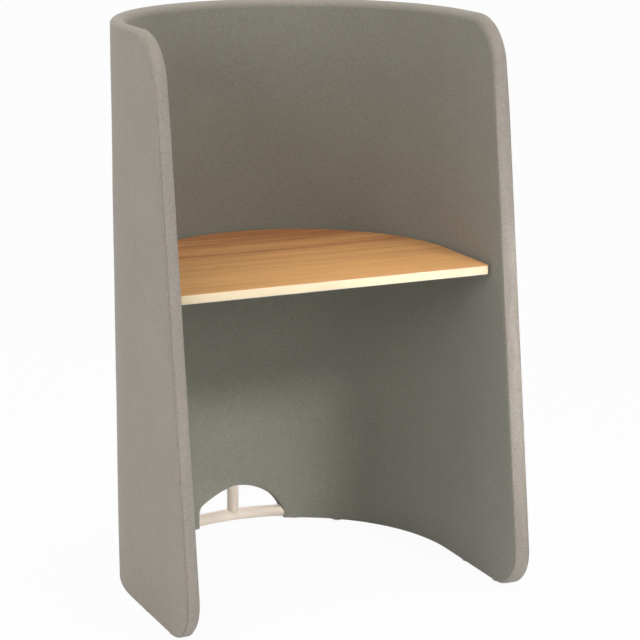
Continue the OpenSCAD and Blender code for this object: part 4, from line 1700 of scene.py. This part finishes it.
@dataclass
class Studio:
    """The pale floor, the soft lights and the camera, in metres. The camera is fitted to the photograph's edges."""

    target: tuple[float, float, float] = (0.049076, -0.036177, 0.592101)
    azimuth: float = math.radians(25.04)
    elevation: float = math.radians(13.844)
    roll: float = math.radians(0.259)
    distance: float = 4.995079
    lens: float = 125.63
    sensor: float = 36.0
    sky: float = 0.60
    floor_reach: float = 14.0
    floor_grey: float = 0.92
    floor_glow: float = 0.95
    lamps: tuple[SoftLamp, ...] = (
        SoftLamp("left_lamp", (-3.7, -2.7, 2.4), 1.6, 44),
        SoftLamp("front_lamp", (1.4, -3.5, 1.6), 0.9, 21),
        SoftLamp("pool_lamp", (1.05, -3.3, 2.7), 0.55, 0.8, (0.03, 0.3, 0.10), 14),
        SoftLamp("top_lamp", (0.1, 0.0, 4.2), 1.0, 4, (0.0, 0.0, 0.7), 60),
    )

    def camera(self) -> None:
        """Sets the camera where the photograph was taken from."""
        a, e = self.azimuth, self.elevation
        back = Vector((-math.sin(a) * math.cos(e), -math.cos(a) * math.cos(e), math.sin(e)))
        right = Vector((math.cos(a), -math.sin(a), 0))
        up = right.cross(-back)
        right, up = (right * math.cos(self.roll) + up * math.sin(self.roll),
                     up * math.cos(self.roll) - right * math.sin(self.roll))
        data = bpy.data.cameras.new("camera")
        data.lens, data.sensor_width = self.lens, self.sensor
        camera = bpy.data.objects.new("camera", data)
        camera.matrix_world = (Matrix.Translation(Vector(self.target) + back * self.distance)
                               @ Matrix((right, up, back)).transposed().to_4x4())
        bpy.context.scene.collection.objects.link(camera)
        bpy.context.scene.camera = camera

    @staticmethod
    def seen(tree: bpy.types.NodeTree) -> bpy.types.NodeSocket:
        """Gives 1 for rays that show the background itself, in the camera or in a gloss.

        Args:
            tree: The node tree to build it in.

        Returns:
            The factor's socket.
        """
        path = tree.nodes.new("ShaderNodeLightPath")
        total = path.outputs["Is Camera Ray"]
        for name in ("Is Glossy Ray", "Is Transmission Ray"):
            most = tree.nodes.new("ShaderNodeMath")
            most.operation = "MAXIMUM"
            tree.links.new(total, most.inputs[0])
            tree.links.new(path.outputs[name], most.inputs[1])
            total = most.outputs[0]
        return total

    @staticmethod
    def show(tree: bpy.types.NodeTree, share: bpy.types.NodeSocket, lit: bpy.types.Node, seen: bpy.types.Node,
             output: str) -> None:
        """Ends a node tree in a mix of two shaders.

        Args:
            tree: The node tree.
            share: Share of the second shader.
            lit: The shader that lights the carrel.
            seen: The shader that the background shows.
            output: Name of the output node's class.
        """
        mix, end = tree.nodes.new("ShaderNodeMixShader"), tree.nodes.new(output)
        for number, socket in enumerate((share, lit.outputs[0], seen.outputs[0])):
            tree.links.new(socket, mix.inputs[number])
        tree.links.new(mix.outputs[0], end.inputs[0])

    def sky_light(self) -> None:
        """Sets an even sky that looks white."""
        world = bpy.data.worlds.new("sky")
        bpy.context.scene.world = world
        world.use_nodes = True
        tree = world.node_tree
        tree.nodes.clear()
        lit, white = (tree.nodes.new("ShaderNodeBackground") for _ in range(2))
        for node, strength in ((lit, self.sky), (white, 1.0)):
            node.inputs["Color"].default_value = Colour.grey(1)
            node.inputs["Strength"].default_value = strength
        self.show(tree, self.seen(tree), lit, white, "ShaderNodeOutputWorld")

    def floor(self) -> None:
        """Lays a white floor that keeps the object's shadow, faintly."""
        reach = self.floor_reach
        corners = np.array([(-reach, -reach, 0), (reach, -reach, 0), (reach, reach, 0), (-reach, reach, 0)])
        material = bpy.data.materials.new("white_floor")
        material.use_nodes = True
        tree = material.node_tree
        tree.nodes.clear()
        matt, glow = tree.nodes.new("ShaderNodeBsdfDiffuse"), tree.nodes.new("ShaderNodeEmission")
        matt.inputs["Color"].default_value = Colour.grey(self.floor_grey)
        glow.inputs["Strength"].default_value = 1.0
        share = tree.nodes.new("ShaderNodeMath")
        share.operation = "MULTIPLY"
        share.inputs[1].default_value = self.floor_glow
        tree.links.new(self.seen(tree), share.inputs[0])
        self.show(tree, share.outputs[0], matt, glow, "ShaderNodeOutputMaterial")
        floor = Mesher.build("floor", corners, [(0, 1, 2, 3)], material, smooth=False)

    def hang(self, lamp: SoftLamp) -> None:
        """Hangs a lamp.

        Args:
            lamp: The lamp.
        """
        data = bpy.data.lights.new(lamp.name, "AREA")
        data.size, data.energy, data.spread = lamp.size, lamp.power, math.radians(lamp.spread)
        light = bpy.data.objects.new(lamp.name, data)
        light.location = lamp.place
        light.rotation_mode = "QUATERNION"
        light.rotation_quaternion = (Vector(lamp.aim or self.target) - Vector(lamp.place)).to_track_quat("-Z", "Y")
        bpy.context.scene.collection.objects.link(light)

    def build(self) -> None:
        """Sets up the whole studio."""
        bpy.context.scene.view_settings.view_transform = "Standard"
        self.camera()
        self.sky_light()
        self.floor()
        for lamp in self.lamps:
            self.hang(lamp)


def build_wall(plan: WallPlan, finishes: Finishes) -> UpholsteredWall:
    """Builds the padded wall and its stitches.

    Args:
        plan: The wall's layout.
        finishes: The materials.

    Returns:
        The wall.
    """
    wall = UpholsteredWall(plan, finishes)
    cover = wall.build()
    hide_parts("outer_cover", "inner_cover", "edge_gusset", "outer_wadding", "inner_wadding",
                "edge_wadding", "left_side_core", "right_side_core", "left_back_core", "right_back_core")
    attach(cover, "carrel")
    LOG.info("upholstered wall: %d faces", len(cover.data.polygons))
    stitches = StitchRow().sew("seam_stitches", [wall.seam(face) for face in Face], finishes.thread)
    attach(stitches, "carrel")
    LOG.info("stitches: %d faces", len(stitches.data.polygons))
    return wall


def main() -> None:
    """Builds the carrel's looks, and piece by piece."""
    logging.basicConfig(level=logging.INFO, format="%(name)s: %(message)s")
    plan = WallPlan()
    finishes = Finishes()
    Studio().build()
    Fittings(finishes).dress()
    wall = build_wall(plan, finishes)
    strips = LiningStrips(plan, wall, finishes)
    for piece in (strips.arch(), *(strips.flap(hand) for hand in Hand)):
        LOG.info("%s: %d faces", piece.name, len(piece.data.polygons))
    for piece in Desk(plan, finishes).build() + FrameTubes(plan, finishes).build():
        LOG.info("%s: %d faces", piece.name, len(piece.data.polygons))
    bpy.context.view_layer.update()


if __name__ == "__main__":
    main()
